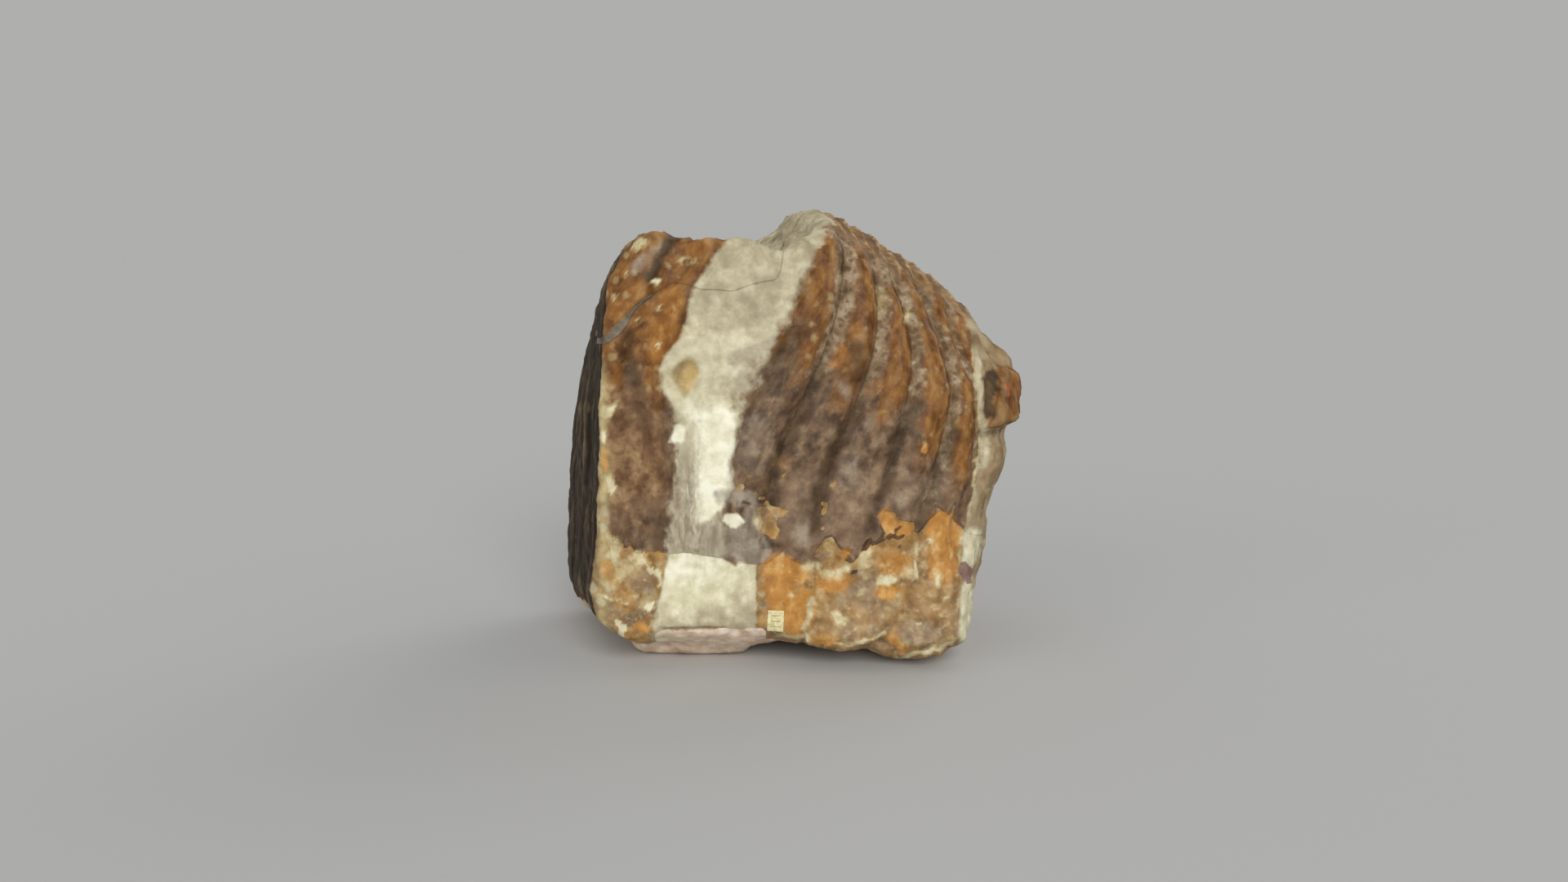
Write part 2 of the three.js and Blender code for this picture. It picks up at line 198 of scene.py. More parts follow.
# Brush strokes on the front side: (strength, radius, softness, (x, z) points).
GLOOM = (  # brown-black manganese and shadow, along the lower grooves and in hollows
    (0.75, 0.8, 3.6, ((12.5, 94), (9.5, 86), (6, 79), (1.5, 73), (-0.5, 66.5), (-1, 60))),
    (0.75, 0.8, 3.6, ((27, 87.5), (23, 79.5), (19, 73), (17, 66.5), (14, 60), (13.5, 47))),
    (0.7, 0.8, 3.6, ((45, 87.5), (41.5, 82.5), (38.5, 76), (37.5, 69), (35, 61), (30.5, 47))),
    (0.6, 0.6, 3.5, ((58, 77.5), (53, 70), (51.5, 63.5), (49.5, 56.5), (46.5, 49))),
    (0.55, 1, 4, ((16, 101.5), (14, 96.5))),
    (0.55, 1.2, 3.5, ((26, 105.5), (27, 100.5), (26, 95.5))),
    (0.5, 1.5, 5, ((9.5, 112), (5.5, 107), (1.5, 100.5), (-1, 94))),
    (0.7, 0.9, 3, ((-46, 110), (-46.5, 104), (-45.5, 99), (-44, 94))),
    (1.1, 0.7, 1.8, ((-31.5, 140), (-34, 136), (-36.5, 131), (-39, 126.5))),
    (0.5, 0.8, 2.5, ((-17, 135), (-22.5, 128), (-26, 122), (-28.5, 114))),
    (1, 0.3, 1.2, ((-10.5, 56.5), (-8.5, 55.5))),
    (1, 0.8, 1.2, ((-5, 57), (-1, 55.5))),
    (0.6, 0.5, 1.5, ((-4, 44), (-3, 41.5), (1.5, 42))),
    (0.6, 1.5, 3.5, ((-36.5, 49.5), (-35.5, 43))),
    (0.4, 2.5, 5, ((-43, 90), (-41, 84))),
    (0.6, 0.8, 2, ((-56, 24.5), (-49.5, 23.5), (-44.5, 21.5), (-39, 19.5))),
    (1.2, 1.4, 2.2, ((70.5, 95), (70, 90.5))),
    (1.2, 0.5, 1.8, ((70, 90), (69.5, 83.5))),
    (0.8, 0.7, 1, ((70.5, 106), (72, 103.5))),
    (0.6, 0.6, 1, ((73, 66),)),
    (0.5, 0.6, 1, ((69.5, 70),)),
    (0.9, 0.3, 0.7, ((-37, 14.5), (-28, 15), (-18, 14.5), (-11.5, 13), (-3, 11.5))),
    (1.2, 0.6, 0.7, ((-46, 17), (-45, 14.5), (-45.5, 12))),
    (0.9, 0.5, 1, ((18, 9), (24, 7))),
    (1.2, 0.8, 1.2, ((34, 10), (37, 7.5), (39, 6))),
)
CRUMBS = (  # dark crumbs of film left on the ochre
    (1, 0.3, 0.4, ((36.5, 46.5), (37, 46))),
    (1, 0.3, 0.4, ((38.5, 47.5), (39, 46.5))),
    (1, 0.4, 0.4, ((39.5, 48),)),
    (1, 0.4, 0.4, ((36, 45), (38, 45))),
    (1, 0.4, 0.4, ((39, 45), (41, 45))),
    (1, 0.4, 0.4, ((34.5, 43.5),)),
    (1, 0.3, 0.4, ((40, 42),)),
    (1, 0.5, 0.4, ((25.5, 33.5), (26.5, 33))),
    (1, 0.7, 0.7, ((29, 41.5), (30, 43.5))),
)
CROWN_GLOOM = (  # on the crown, as (x, y) points
    (1, 0.3, 1.2, ((3, -12), (2, -7), (3.5, -4), (-0.5, 2))),
    (0.7, 1, 4, ((8, -14), (4, -4), (0, 6))),
)
MIST = (  # lavender grey
    (0.7, 0.6, 2.2, ((-36, 137), (-38.5, 134.5), (-41, 131.5), (-43.5, 130))),
    (1.15, 4, 3, ((-18, 43.5), (-12, 43.5), (-7, 41))),
    (0.9, 1.5, 3, ((-16.5, 58), (-12.5, 58.5), (-7.5, 57))),
    (0.8, 1.5, 2.5, ((-7, 52), (-7.5, 47))),
    # the next four grey the cement band's right edge: a grey haze with painted shade
    (0.7, 1.2, 5, ((-9, 94), (-6, 101), (-2, 107))),
    (0.5, 0.8, 2.5, ((-16, 96), (-15.5, 92))),
    (0.75, 1.2, 3, ((-13, 102.5), (-8.5, 103.5), (-4, 105))),
    (0.65, 1, 3.5, ((-7.5, 99.5), (-11, 94.5))),
    (0.4, 3, 5, ((-6, 80), (-6, 70.5))),
    (0.5, 1, 2.5, ((21.5, 94.5), (22, 90))),
    (0.5, 1, 3, ((30.5, 81),)),
    (0.4, 1.5, 3.5, ((23.5, 68), (23.5, 63))),
    (0.6, 1.2, 3, ((8.5, 48.5), (9.5, 44))),
    (0.5, 1.2, 2.5, ((39.5, 57),)),
    (0.7, 1.2, 2, ((0, 31.5),)),
    (0.6, 2.5, 4, ((24, 26), (32, 23))),
    (0.6, 2.5, 4, ((43, 13), (49, 13))),
    (0.5, 2, 4, ((24, 13), (30, 17))),
    (0.6, 2, 3, ((-42, 33.5), (-40.5, 28.5), (-45.5, 32))),
)
GLOW = (  # bright orange iron stain
    (0.75, 0.8, 2.5, ((19.5, 100.5), (21, 104.5))),
    (0.3, 1, 2.5, ((4, 70.5), (4.5, 65.5))),
    (0.45, 1.5, 3, ((-24, 135), (-21, 137))),
    (0.55, 2.5, 4, ((-32, 120), (-33.5, 113), (-36.5, 104))),
    (0.4, 2, 4, ((-43, 121), (-49, 117))),
    (0.9, 1.2, 2, ((35.5, 52), (38, 48.5), (42, 48))),
    (0.5, 0.8, 3, ((31, 92), (33.5, 94))),
    (1.1, 2.6, 2.5, ((0, 35), (4, 35), (7, 33.5))),
    (0.9, 3, 3.5, ((8.5, 23), (7, 16.5), (1, 28))),
    (1.2, 1.5, 1.5, ((34.5, 26.5), (37.5, 26.5))),
    (0.7, 2.5, 3, ((37, 36), (39.5, 36.5))),
    (1.1, 3.8, 3, ((53, 47), (55, 46))),
    (0.8, 2.8, 4, ((54.5, 42), (54, 34))),
    (0.9, 0.9, 1, ((22.5, 39), (23.5, 40))),
    (0.7, 2, 2.5, ((16, 30.5), (21.5, 30.5))),
    (0.9, 1, 1.5, ((-54, 36), (-52.5, 31.5))),
    (1, 0.9, 1.2, ((-43, 16), (-41.5, 14))),
    (0.9, 0.8, 1.5, ((38, 11.5), (41, 8))),
    (0.8, 1.2, 1.5, ((14.5, 11.5), (19.5, 11))),
    (0.9, 0.8, 1.5, ((-54, 72), (-53.5, 67.5))),
    (1.2, 0.5, 0.6, ((47, 72.5), (47.5, 74.5))),
)
PALE = (  # cream specks and blotches, and one painted glint
    (1, 0.9, 1.6, ((-42, 138), (-43, 136.5))),
    (1, 0.7, 1.3, ((-50.5, 121),)),
    (0.8, 0.5, 1.2, ((-46, 128),)),
    (0.9, 0.5, 1.2, ((-36.5, 118),)),
    (0.8, 0.5, 1.2, ((-42.5, 114),)),
    (0.9, 0.6, 1.2, ((-36.5, 106),)),
    # a painted glint of light
    (1.3, 0.7, 0.4, ((-37.5, 126), (-36, 125))),
    (0.6, 0.6, 2, ((34, 122), (34, 117))),
    (0.6, 0.4, 1.6, ((42, 117), (42.5, 114))),
    (1.2, 0.8, 0.8, ((-54, 78.5), (-54, 76.5))),
    (0.8, 0.4, 1.2, ((-52, 84.5), (-50, 87.5))),
    (1.3, 1.1, 0.7, ((-39, 34), (-37.5, 33))),
    (1.3, 0.9, 0.5, ((-41, 22), (-39.5, 23.5))),
    (1, 0.5, 0.7, ((-37, 32), (-37, 29))),
    (0.8, 1.4, 1.6, ((-43.5, 38.5), (-43, 37))),
    (0.8, 1, 1.6, ((-51, 44), (-50.5, 37))),
    (1, 0.7, 1, ((-52, 64), (-52, 60.5))),
    (0.7, 0.3, 1.2, ((-29.5, 132), (-27.5, 133), (-25, 132.5))),
    (0.7, 0.8, 1.2, ((-51, 32),)),
    (0.7, 0.7, 1.4, ((-45, 26),)),
    (0.7, 1.4, 2.5, ((-49.5, 33.5), (-47, 36))),
    (0.5, 1.4, 2.5, ((-41.5, 23.5),)),
    (0.9, 0.3, 0.8, ((-56, 26), (-53.5, 25.5), (-50.5, 24.5), (-47.5, 23))),
    (1.5, 1.1, 0.6, ((-50.5, 16.5), (-49, 15), (-50, 12.5))),
    (1.05, 1, 1.6, ((34, 30.5), (38, 30.5))),
    (0.55, 0.9, 2, ((42.5, 34), (43, 32.5))),
    (0.6, 0.6, 1.6, ((45.5, 41.5), (45.5, 38))),
    (0.9, 0.2, 1.1, ((45, 36), (45.5, 31))),
    (0.5, 0.4, 1.4, ((41, 32), (46, 31.5), (51, 30))),
    (0.8, 0.5, 1.5, ((53, 31.5), (52, 28.5))),
    (1.1, 0.5, 1.2, ((50, 42.5),)),
    (0.8, 0.8, 2.6, ((29.5, 39.5), (28.5, 36))),
    (0.8, 0.6, 1.8, ((16, 33), (19.5, 33), (22.5, 34.5))),
    (0.7, 0.6, 2.2, ((10, 35.5), (13.5, 35))),
    (0.7, 0.9, 1.5, ((28, 26),)),
    (0.8, 1, 2.6, ((20.5, 19), (21.5, 17.5))),
    (1, 0.4, 0.7, ((45, 16.5), (46.5, 16))),
    (0.9, 0.5, 1, ((56, 25), (55, 24))),
    (0.6, 0.6, 1.3, ((52.5, 21),)),
    (0.8, 0.5, 1.2, ((5, 26),)),
    (0.9, 0.6, 1.2, ((12, 24), (11, 19.5), (9.5, 13.5), (11, 11))),
    (0.8, 0.9, 1, ((1, 11.5), (7, 11))),
    (0.9, 0.3, 1, ((20, 10), (24, 9), (27.5, 10.5), (30, 11.5), (32.5, 12), (36, 13.5))),
    (0.9, 0.5, 1.2, ((41.5, 3.5), (44, 5.5), (48, 7), (53.5, 8), (57, 10))),
    (0.6, 0.9, 1.2, ((-5.5, 51), (-4, 47.5))),
    (0.8, 0.8, 1.4, ((65.5, 104), (66, 96), (66.5, 88), (67, 82.5), (68.5, 75), (67.5, 66))),
    (0.7, 1.2, 2.5, ((65.5, 110.5), (68, 107), (68.5, 102))),
    (0.8, 0.3, 0.8, ((67, 77), (65.5, 69), (64.5, 58), (63, 50))),
    (1, 2.6, 3, ((64, 42), (64.5, 39.5), (64.5, 36.5))),
    (1, 2.6, 3, ((63.5, 26), (64, 20), (62.5, 13))),
)
PLUM = ((1, 1.6, 0.9, ((61.5, 33), (64, 30))),)  # a purple-brown knob low on the right edge
BRICK = ((0.7, 0.6, 1, ((74.5, 91), (75, 88.5))),)  # a red speck on the proud plate's end
GLEAM = (  # painted highlights on the broken slab under the block
    (1, 1, 1.6, ((-35.5, 12.5), (-33, 10), (-31.5, 8.5))),
    (0.9, 0.5, 0.9, ((-29.5, 12), (-28.5, 10))),
    (0.55, 2, 5, ((-37.5, 7.5), (-34, 2.5))),
)
# Narrow creases, and lips where the depth is negative: (depth, radius, softness, (x, z) points).
CRACKLES = (
    (0.9, 0.1, 1.3, ((13, 38), (13, 28), (11, 20), (9.5, 13), (9, 8))),
    (0.8, 0.1, 1.2, ((-34, 39), (-35.5, 30.5), (-37, 25), (-38.5, 18.5), (-39.5, 13), (-40, 8))),
    (0.6, 0.1, 1.2, ((-37, 14.5), (-28, 15), (-18, 14.5), (-11.5, 13), (-3, 11.5))),
    (-0.35, 0.2, 1.2, ((45.5, 42), (45.5, 38), (45.5, 31))),
    (-0.35, 0.2, 1.2, ((38, 30.5), (42, 31.5), (46.5, 31.5), (53, 29.5))),
    (-0.6, 0.3, 1.5, ((-57, 26), (-50.5, 24.5), (-46, 22.5), (-41.5, 20.5))),
    (-0.9, 0.4, 1.4, ((13, 12), (21.5, 12.5), (29.5, 11), (36, 14), (42.5, 9.5), (50.5, 11), (58.5, 11.5))),
    (1.2, 0.6, 1.6, ((34, 10), (37, 7.5), (39, 6))),
    (1, 1.4, 1.4, ((70.5, 95.5), (70, 90.5), (69, 84))),
)

# The tooth's fractal noises: (depth, size of the largest bumps in mm, octaves, stretch along the plates,
# shift). The shift keeps them apart.
WAVES = {
    "drift": (1, 22, 2, 1, 3.7),  # slow change over the whole tooth
    "rags": (1, 9, 4, 1, 29),  # ragged edges
    "wander_x": (1.1, 5, 3, 1, 11),  # how far drawn edges wander sideways
    "wander_z": (1.1, 5, 3, 1, 17),  # and up or down
    "crumble": (2.2, 5, 4, 1, 31),  # the film's broken edge at the left
    "wrinkles": (0.28, 3.2, 3, 3, 9.1),
    "knots": (0.3, 2.6, 2, 1, 12.4),
    "lumps": (0.4, 8, 4, 1, 1.3),
    "cement_skin": (0.16, 3, 3, 1, 5.5),
    "flutes": (1.1, 9, 4, 6, 2.2),
    "splinters": (0.4, 2.4, 2, 6, 7.7),
    "tear": (5, 30, 3, 1, 21),
    "knobs": (0.45, 6.5, 4, 1, 4.4),
    "swells": (2.0, 20, 3, 1, 14.4),
    "folds": (1.0, 9, 3, 4, 15.1),
    "crown_skin": (0.45, 5, 4, 1, 8.2),
    "sole_skin": (0.8, 9, 3, 1, 6.6),
}
OCTAVE_FALL = 0.7  # how fast the finer octaves weaken
OCTAVE_STEP = 2.0  # how much finer each octave is than the last

# ---- colours ----

# Each finish's tones, from its darkest to its lightest, as (place on the pattern, sRGB hex).
TONES = {
    "rust": ((0.33, "5b3718"), (0.42, "6f461f"), (0.50, "7f5327"), (0.58, "8e602e"), (0.69, "a1763d")),
    "umber": ((0.35, "402b1b"), (0.5, "523825"), (0.65, "6a4b32")),
    "strip": ((0.34, "6a573f"), (0.43, "7f6b51"), (0.50, "8f7a5e"), (0.57, "9f8a6d"), (0.68, "b9a786")),
    "lavender": ((0.38, "8e8170"), (0.5, "a19482"), (0.62, "b4a795")),
    "film": ((0.34, "4c3a2d"), (0.43, "604b39"), (0.50, "705843"), (0.57, "80674f"), (0.68, "957c60")),
    "taupe": ((0.34, "6b5643"), (0.5, "897059"), (0.66, "a1886d")),
    "russet": ((0.34, "5f4229"), (0.43, "735136"), (0.50, "856242"), (0.57, "95734f"), (0.68, "a98963")),
    "liver": ((0.35, "5b3e29"), (0.5, "705036"), (0.65, "86643f")),
    # gloom is the brown-black of manganese, and of painted shade
    "gloom": ((0.35, "2f2114"), (0.5, "41301f"), (0.65, "59442d")),
    "ochre": ((0.33, "86653b"), (0.42, "997444"), (0.50, "ab8550"), (0.58, "bd9860"), (0.70, "d5ba86")),
    "orange": ((0.36, "935d22"), (0.5, "ad702c"), (0.64, "c38a42")),
    "amber": ((0.36, "b27c3b"), (0.5, "c98f47"), (0.64, "dba963")),
    "drab": ((0.36, "74593c"), (0.5, "8e704c"), (0.64, "a78c64")),
    "cream": ((0.32, "a69b7f"), (0.42, "b1a587"), (0.50, "baae90"), (0.58, "c4b999"), (0.70, "d2c8aa")),
    "pale": ((0.33, "d4cca6"), (0.5, "e3ddbb"), (0.67, "f3eecf")),
    "straw": ((0.34, "bba26e"), (0.5, "cfba86"), (0.66, "e6d8a9")),
    "chalk": ((0.34, "e2dcc0"), (0.48, "f3eed2"), (0.62, "fdfbe4")),
    "haze": ((0.34, "8d7f6b"), (0.43, "9e917b"), (0.50, "ada18a"), (0.58, "bcb197"), (0.68, "d2c9ae")),
    "smudge": ((0.36, "877968"), (0.5, "9a8d7a"), (0.64, "afa38d")),
    "pit": ((0.36, "97835a"), (0.5, "a89263"), (0.64, "b9a370")),
    "gold": ((0.36, "bd9f64"), (0.5, "cfb177"), (0.64, "dcc18b")),
    "black": ((0.36, "20180e"), (0.48, "2d2418"), (0.57, "3b3021"), (0.70, "554733")),
    "flank": ((0.33, "846e50"), (0.43, "937d5d"), (0.51, "a18b6a"), (0.60, "b09b7a"), (0.70, "c6b592")),
    # the olive tones are lighter than the saddle cement's own colour: painted light on its up- and
    # left-facing slope, which gets less light
    "olive": ((0.36, "a39879"), (0.45, "b0a587"), (0.52, "bbb193"), (0.62, "cbc2a4")),
    "plum": ((0.36, "6a4e48"), (0.5, "7d6058"), (0.64, "917369")),
    "brick": ((0.36, "96492a"), (0.5, "b05d38"), (0.64, "c8794f")),
    "bark": ((0.36, "54473a"), (0.5, "675746"), (0.64, "7d6b57")),
    "enamel": ((0.36, "7f5a34"), (0.5, "a57c4b"), (0.64, "c6a574")),
    "dentine": ((0.36, "4c3823"), (0.5, "674d32"), (0.64, "836646")),
    # the buff tones are lighter than the dentine's own colour: painted light on this downward face, which
    # gets little light
    "buff": ((0.34, "d3b89e"), (0.44, "e3cab1"), (0.53, "f0dac3"), (0.66, "fdf0df")),
    "putty": ((0.36, "5a5044"), (0.5, "746959"), (0.64, "8b806e")),
}
MAIN = {name: stops[len(stops) // 2][1] for name, stops in TONES.items()}

# The tooth's colour patterns: (size of the largest features in mm, detail, roughness, distortion, stretch
# along the plates).
PATTERNS = {
    "speckle": (1.5, 2, 0.5, 0, 1),
    "spots": (2.4, 2, 0.5, 0, 1),
    "mottle": (4.6, 4, 0.56, 0.1, 1),
    "blotch": (13, 4, 0.55, 0.3, 1),
    "ragged": (6, 8, 0.7, 0, 1),
    "grain": (3.2, 4, 0.56, 0.1, 1.7),
    "brush": (7, 3, 0.52, 0.2, 2.4),
    "splinter": (3, 5, 0.6, 0, 6),
    "wisps": (2.2, 4, 0.62, 0.5, 2.4),
}
# Cell patterns, as distances from scattered points or from the lines between them: (what is measured,
# distance between the points in mm, how far noise bends them in mm).
CELLS = {
    "leopard": ("F1", 2.3, 1.6),
    "specks": ("F1", 5.5, 2.2),
    "fissures": ("DISTANCE_TO_EDGE", 15, 9),
}
BEND_SIZE = 2  # of that noise, in mm
# The dark line in each groove is painted shade in the crease.
GROOVE_SHIFT = 0.035  # the dark line in a groove lies this far left of the groove's own, counted in plates

SATIN = 0.5  # roughness of enamel
MATT = 0.78  # and of cement and broken faces
GLOSS_CHANGE = 0.25  # how far the roughness varies from place to place

# The label's paper and ink, and the light from all around.
PAPER = ((0.35, "cdbf8a"), (0.5, "e3d8a3"), (0.65, "f3ebbd"))
INK = "6d5f45"
SKY_COLOUR = "f2f2f0"

# ---- the label and the lights ----

LABEL_CELLS = (24, 32)  # across and up
LABEL_SMOOTHING = 6  # how many times the sheet is evened out over the tooth's small bumps
RULED_LINES = (-0.26, 0, 0.26)  # heights on the label, as shares of it from its middle
RULED_HALF_WIDTH = 0.06
RULED_REACH = 0.3  # how far the lines run from the label's middle, as a share of its width

# The suns: (towards where they stand, share of the key light's strength, spread in degrees).
SUNS = {
    "key": ((0.2, -1.0, 0.53), 1, 30),
    "fill": ((-0.75, -0.9, 0.28), 0.36, 50),
    "rim": ((0.7, 0.8, 0.63), 0.3, 40),
}

# ---- small helpers ----


def linear(hex_colour):
    """The linear red, green and blue of an sRGB colour such as 'b58a4c'."""
    channels = [int(hex_colour[i:i + 2], 16) / 255 for i in (0, 2, 4)]
    return tuple(c / 12.92 if c <= 0.04045 else ((c + 0.055) / 1.055) ** 2.4 for c in channels)


def smooth(low, high, value):
    """A smooth step from 0 at low to 1 at high."""
    t = np.clip((value - low) / (high - low), 0, 1)
    return t * t * (3 - 2 * t)


def band(value, low, high, soft):
    """1 between low and high, falling to 0 over a width of soft outside them."""
    return smooth(low - soft, low, value) * (1 - smooth(high, high + soft, value))


def peak(value, middle, width):
    """1 at the middle, falling away on both sides like a bell."""
    return np.exp(-((value - middle) / width) ** 2)


def along_curve(value, points):
    """The second coordinate of a line given as points, read at the first."""
    firsts, seconds = zip(*points)
    return np.interp(value, firsts, seconds)


def line_distance(x, z, points):
    """How far each point (x, z) is from a line through the given points, or from a single one."""
    nearest = np.full(len(x), 1e9)
    for (ax, az), (bx, bz) in zip(points, points[1:] or points):
        length2 = max((bx - ax) ** 2 + (bz - az) ** 2, 1e-9)
        t = np.clip(((x - ax) * (bx - ax) + (z - az) * (bz - az)) / length2, 0, 1)
        nearest = np.minimum(nearest, np.hypot(x - ax - t * (bx - ax), z - az - t * (bz - az)))
    return nearest


def inside_outline(x, z, outline):
    """How far each point (x, z) is inside a closed outline, negative outside it."""
    inside = np.zeros(len(x), bool)
    closed = outline + outline[:1]
    for (ax, az), (bx, bz) in zip(closed, closed[1:]):
        if az != bz:
            crosses = (az > z) != (bz > z)
            inside ^= crosses & (x < ax + (bx - ax) * (z - az) / (bz - az))
    away = line_distance(x, z, closed)
    return np.where(inside, away, -away)


def line_side(x, z, points):
    """How far each point (x, z) is from a line through the given points, negative on the line's right."""
    nearest = np.full(len(x), 1e9)
    for (ax, az), (bx, bz) in zip(points, points[1:]):
        away = line_distance(x, z, ((ax, az), (bx, bz)))
        turn = (bx - ax) * (z - az) - (bz - az) * (x - ax)
        nearest = np.where(away < np.abs(nearest), np.copysign(away, turn), nearest)
    return nearest


def brushed(x, z, strokes, total=False):
    """How strongly brush strokes cover each point (x, z), as the strongest stroke or as their total."""
    covers = [strength * (1 - smooth(radius, radius + soft, line_distance(x, z, points)))
              for strength, radius, soft, points in strokes]
    return np.sum(covers, axis=0) if total else np.max(covers, axis=0)


# ---- the molar's skin: where each point lies on the tooth ----


class Skin:
    """The points of the molar's fine mesh in millimetres, and which way the tooth faces at each."""

    BROAD_STEPS = 24  # how many times normals are averaged with their neighbours'

    def __init__(self, mesh):
        count = len(mesh.vertices)
        self.position = np.empty(count * 3)
        mesh.vertices.foreach_get("co", self.position)
        self.position = self.position.reshape(-1, 3) / MM
        normals = np.empty(count * 3)
        mesh.vertices.foreach_get("normal", normals)
        edges = np.empty(len(mesh.edges) * 2, int)
        mesh.edges.foreach_get("vertices", edges)
        self.edges = edges.reshape(-1, 2).T
        self.valence = np.bincount(edges, minlength=count)
        self.broad = self.blur(normals.reshape(-1, 3), self.BROAD_STEPS)
        self.broad /= np.linalg.norm(self.broad, axis=1)[:, None]

        rightwards, backwards, upwards = self.broad.T
        self.front = smooth(0.1, 0.5, -backwards)
        self.back = smooth(0.1, 0.5, backwards)
        self.end = smooth(0.5, 0.8, -rightwards)
        self.flank = smooth(0.45, 0.8, rightwards)
        self.crown = smooth(0.4, 0.8, upwards)
        self.sole = smooth(0.3, 0.7, -upwards)
        self.facing = smooth(0, 0.2, -backwards) * (1 - self.end)

        self.x, self.y, self.z = self.position.T
        self.ahead = self.y < 0
        self.on_front = self.ahead & (self.front > 0.2)
        self.drift = self.waves("drift")
        self.rags = self.waves("rags")
        self.wander_x = self.x + self.waves("wander_x")
        self.wander_z = self.z + self.waves("wander_z")

        along = self.x + PLATE_SKEW * (self.y - FRONT_Y) / (BACK_Y - FRONT_Y)
        lines = groove_lines(self.z)
        self.from_grooves = along - lines
        shares = np.clip(self.from_grooves[:-1] / np.diff(lines, axis=0), 0, 1)
        before = np.minimum(0, self.from_grooves[0]) / PLATE_SPACING
        beyond = np.maximum(0, self.from_grooves[-1]) / PLATE_SPACING
        # how many grooves lie to the left of each point, and the share of the way to the next one
        self.plate = shares.sum(axis=0) + before + beyond
        self.across = self.plate - np.floor(self.plate)

    def blur(self, values, steps):
        """Values averaged with their neighbours', steps times."""
        first, second = self.edges
        columns = values if values.ndim == 2 else values[:, None]
        for _ in range(steps):
            total = columns.copy()
            for i in range(columns.shape[1]):
                total[:, i] += np.bincount(first, columns[second, i], len(columns))
                total[:, i] += np.bincount(second, columns[first, i], len(columns))
            columns = total / (self.valence + 1)[:, None]
        return columns if values.ndim == 2 else columns[:, 0]

    def waves(self, name):
        """One of the fractal noises at every point."""
        depth, size, octaves, stretch, shift = WAVES[name]
        scaled = self.position / (size * np.array((1, 1, stretch))) + shift
        values = [noise.fractal(place, OCTAVE_FALL, OCTAVE_STEP, octaves) for place in scaled.tolist()]
        return depth * np.array(values)


def groove_lines(z):
    """The x of each groove at heights z, one row for each groove."""
    rows = []
    for foot, head, low, high, curl in GROOVES:
        above = np.clip(z - high, 0, CURL_HEIGHT)
        rows.append(foot + (head - foot) * smooth(low, high, z) - curl * above ** 2)
    return np.array(rows)


# ---- the molar's fields: what covers it at each point ----


def strip_field(skin):
    """How far each point is inside a groove's pale strip, and how far right of the groove's line, in mm."""
    inside = np.full(len(skin.z), float(OFF))
    beside = np.full(len(skin.z), float(NOWHERE))
    for offset, strip in zip(skin.from_grooves, STRIPS):
        if strip is None:
            left, right, low = HIDDEN_STRIP
            offset = np.where(skin.y < -10, NOWHERE, offset)
        else:
            left, right, low = strip
        low = np.where(skin.ahead, low, 80 + 20 * skin.drift)
        within = np.minimum(np.minimum(offset + left, right - offset), (skin.z - low) / 5)
        inside = np.maximum(inside, within)
        beside = np.where(np.abs(offset) < np.abs(beside), offset, beside)
    return inside, beside


def root_field(skin, film_edge):
    """How far each point is inside the bare root: below the film, in its flakes, and in islands behind."""
    crumbled = skin.waves("crumble") * (1 - smooth(-40, -34, skin.x))
    flakes = brushed(skin.wander_x, skin.wander_z, FLAKES) * 2.4 - 1.2
    flakes = np.maximum(inside_outline(skin.x, skin.z, FLAKE), flakes)
    low = (36 + 14 * skin.drift + 7 * skin.rags - skin.z) / 1.8
    islands = 6 * skin.rags - 2.4 - smooth(50, 66, skin.z) * 4
    return np.where(skin.ahead, np.maximum(film_edge + crumbled, flakes), np.maximum(low, islands))


def cement_fields(skin, film_edge):
    """How far each point is inside the cement, inside its block below the film, and in its band behind."""
    x, y, z = skin.position.T
    block = np.minimum(np.minimum(x - along_curve(z, BLOCK_LEFT), BLOCK_RIGHT - x), film_edge)
    from_left = (x - along_curve(z, CEMENT_LEFT)) / along_curve(z, CEMENT_LEFT_SOFT)
    from_right = (along_curve(z, CEMENT_RIGHT) - x) / along_curve(z, CEMENT_RIGHT_SOFT)
    cement = np.minimum(np.minimum(from_left, from_right), -film_edge / 0.8)
    # behind the front side the band follows the plates, and is wider over the front half of the crown
    last_plate = BEHIND_PLATES[1] + 0.8 * band(y, -20, -8, 12)
    behind = np.minimum(skin.plate - BEHIND_PLATES[0], last_plate - skin.plate) * PLATE_SPACING
    over_top = np.minimum(behind + 2.5 * skin.rags, z - (84 + 14 * skin.drift + 5 * skin.rags))
    elsewhere = np.where(skin.crown > 0.3, behind, over_top)
    cement = np.where(skin.on_front, np.maximum(cement, block), elsewhere)
    # a smaller patch of cement on the back side, towards the right end
    patch = 6 - np.hypot((x - 34) / 1.4, (z - 84) / 2.2) + 6 * skin.drift + 3 * skin.rags
    cement = np.maximum(cement, np.where(skin.back > 0.3, patch, -FAR))
    return cement, np.where(skin.on_front, block, -FAR), behind


def chalk_field(skin):
    """How far each point is inside the chalky patches of the cement band."""
    soft = np.interp(skin.x, (-24, -19), (3.4, 0.9)) + smooth(80, 88, skin.z)
    chalk = inside_outline(skin.x, skin.z, CHALK) / soft
    chalk = np.maximum(chalk, inside_outline(skin.x, skin.z, CHALK_SPOT) / 0.6)
    chalk = np.maximum(chalk, inside_outline(skin.x, skin.z, PINK_SPOT) / 0.8)
    return np.where(skin.on_front, chalk, -20)


def crack_fields(skin):
    """How far each point is beside the corner's crack, and how far inside its filler."""
    x, y, z = skin.position.T
    side = np.select(
        (skin.end > 0.5, skin.on_front, skin.crown > 0.2),
        (line_side(y, z, CRACK_END), line_side(x, z, CRACK_LOWER + HAIRLINE),
         line_side(skin.wander_x, y, CRACK_CROWN)),
        FAR)
    filler = np.minimum(along_curve(x, CRACK_UPPER) - z, z - along_curve(x, CRACK_LOWER))
    return side, np.where(skin.on_front & (x < GAPE_END), filler, -10)


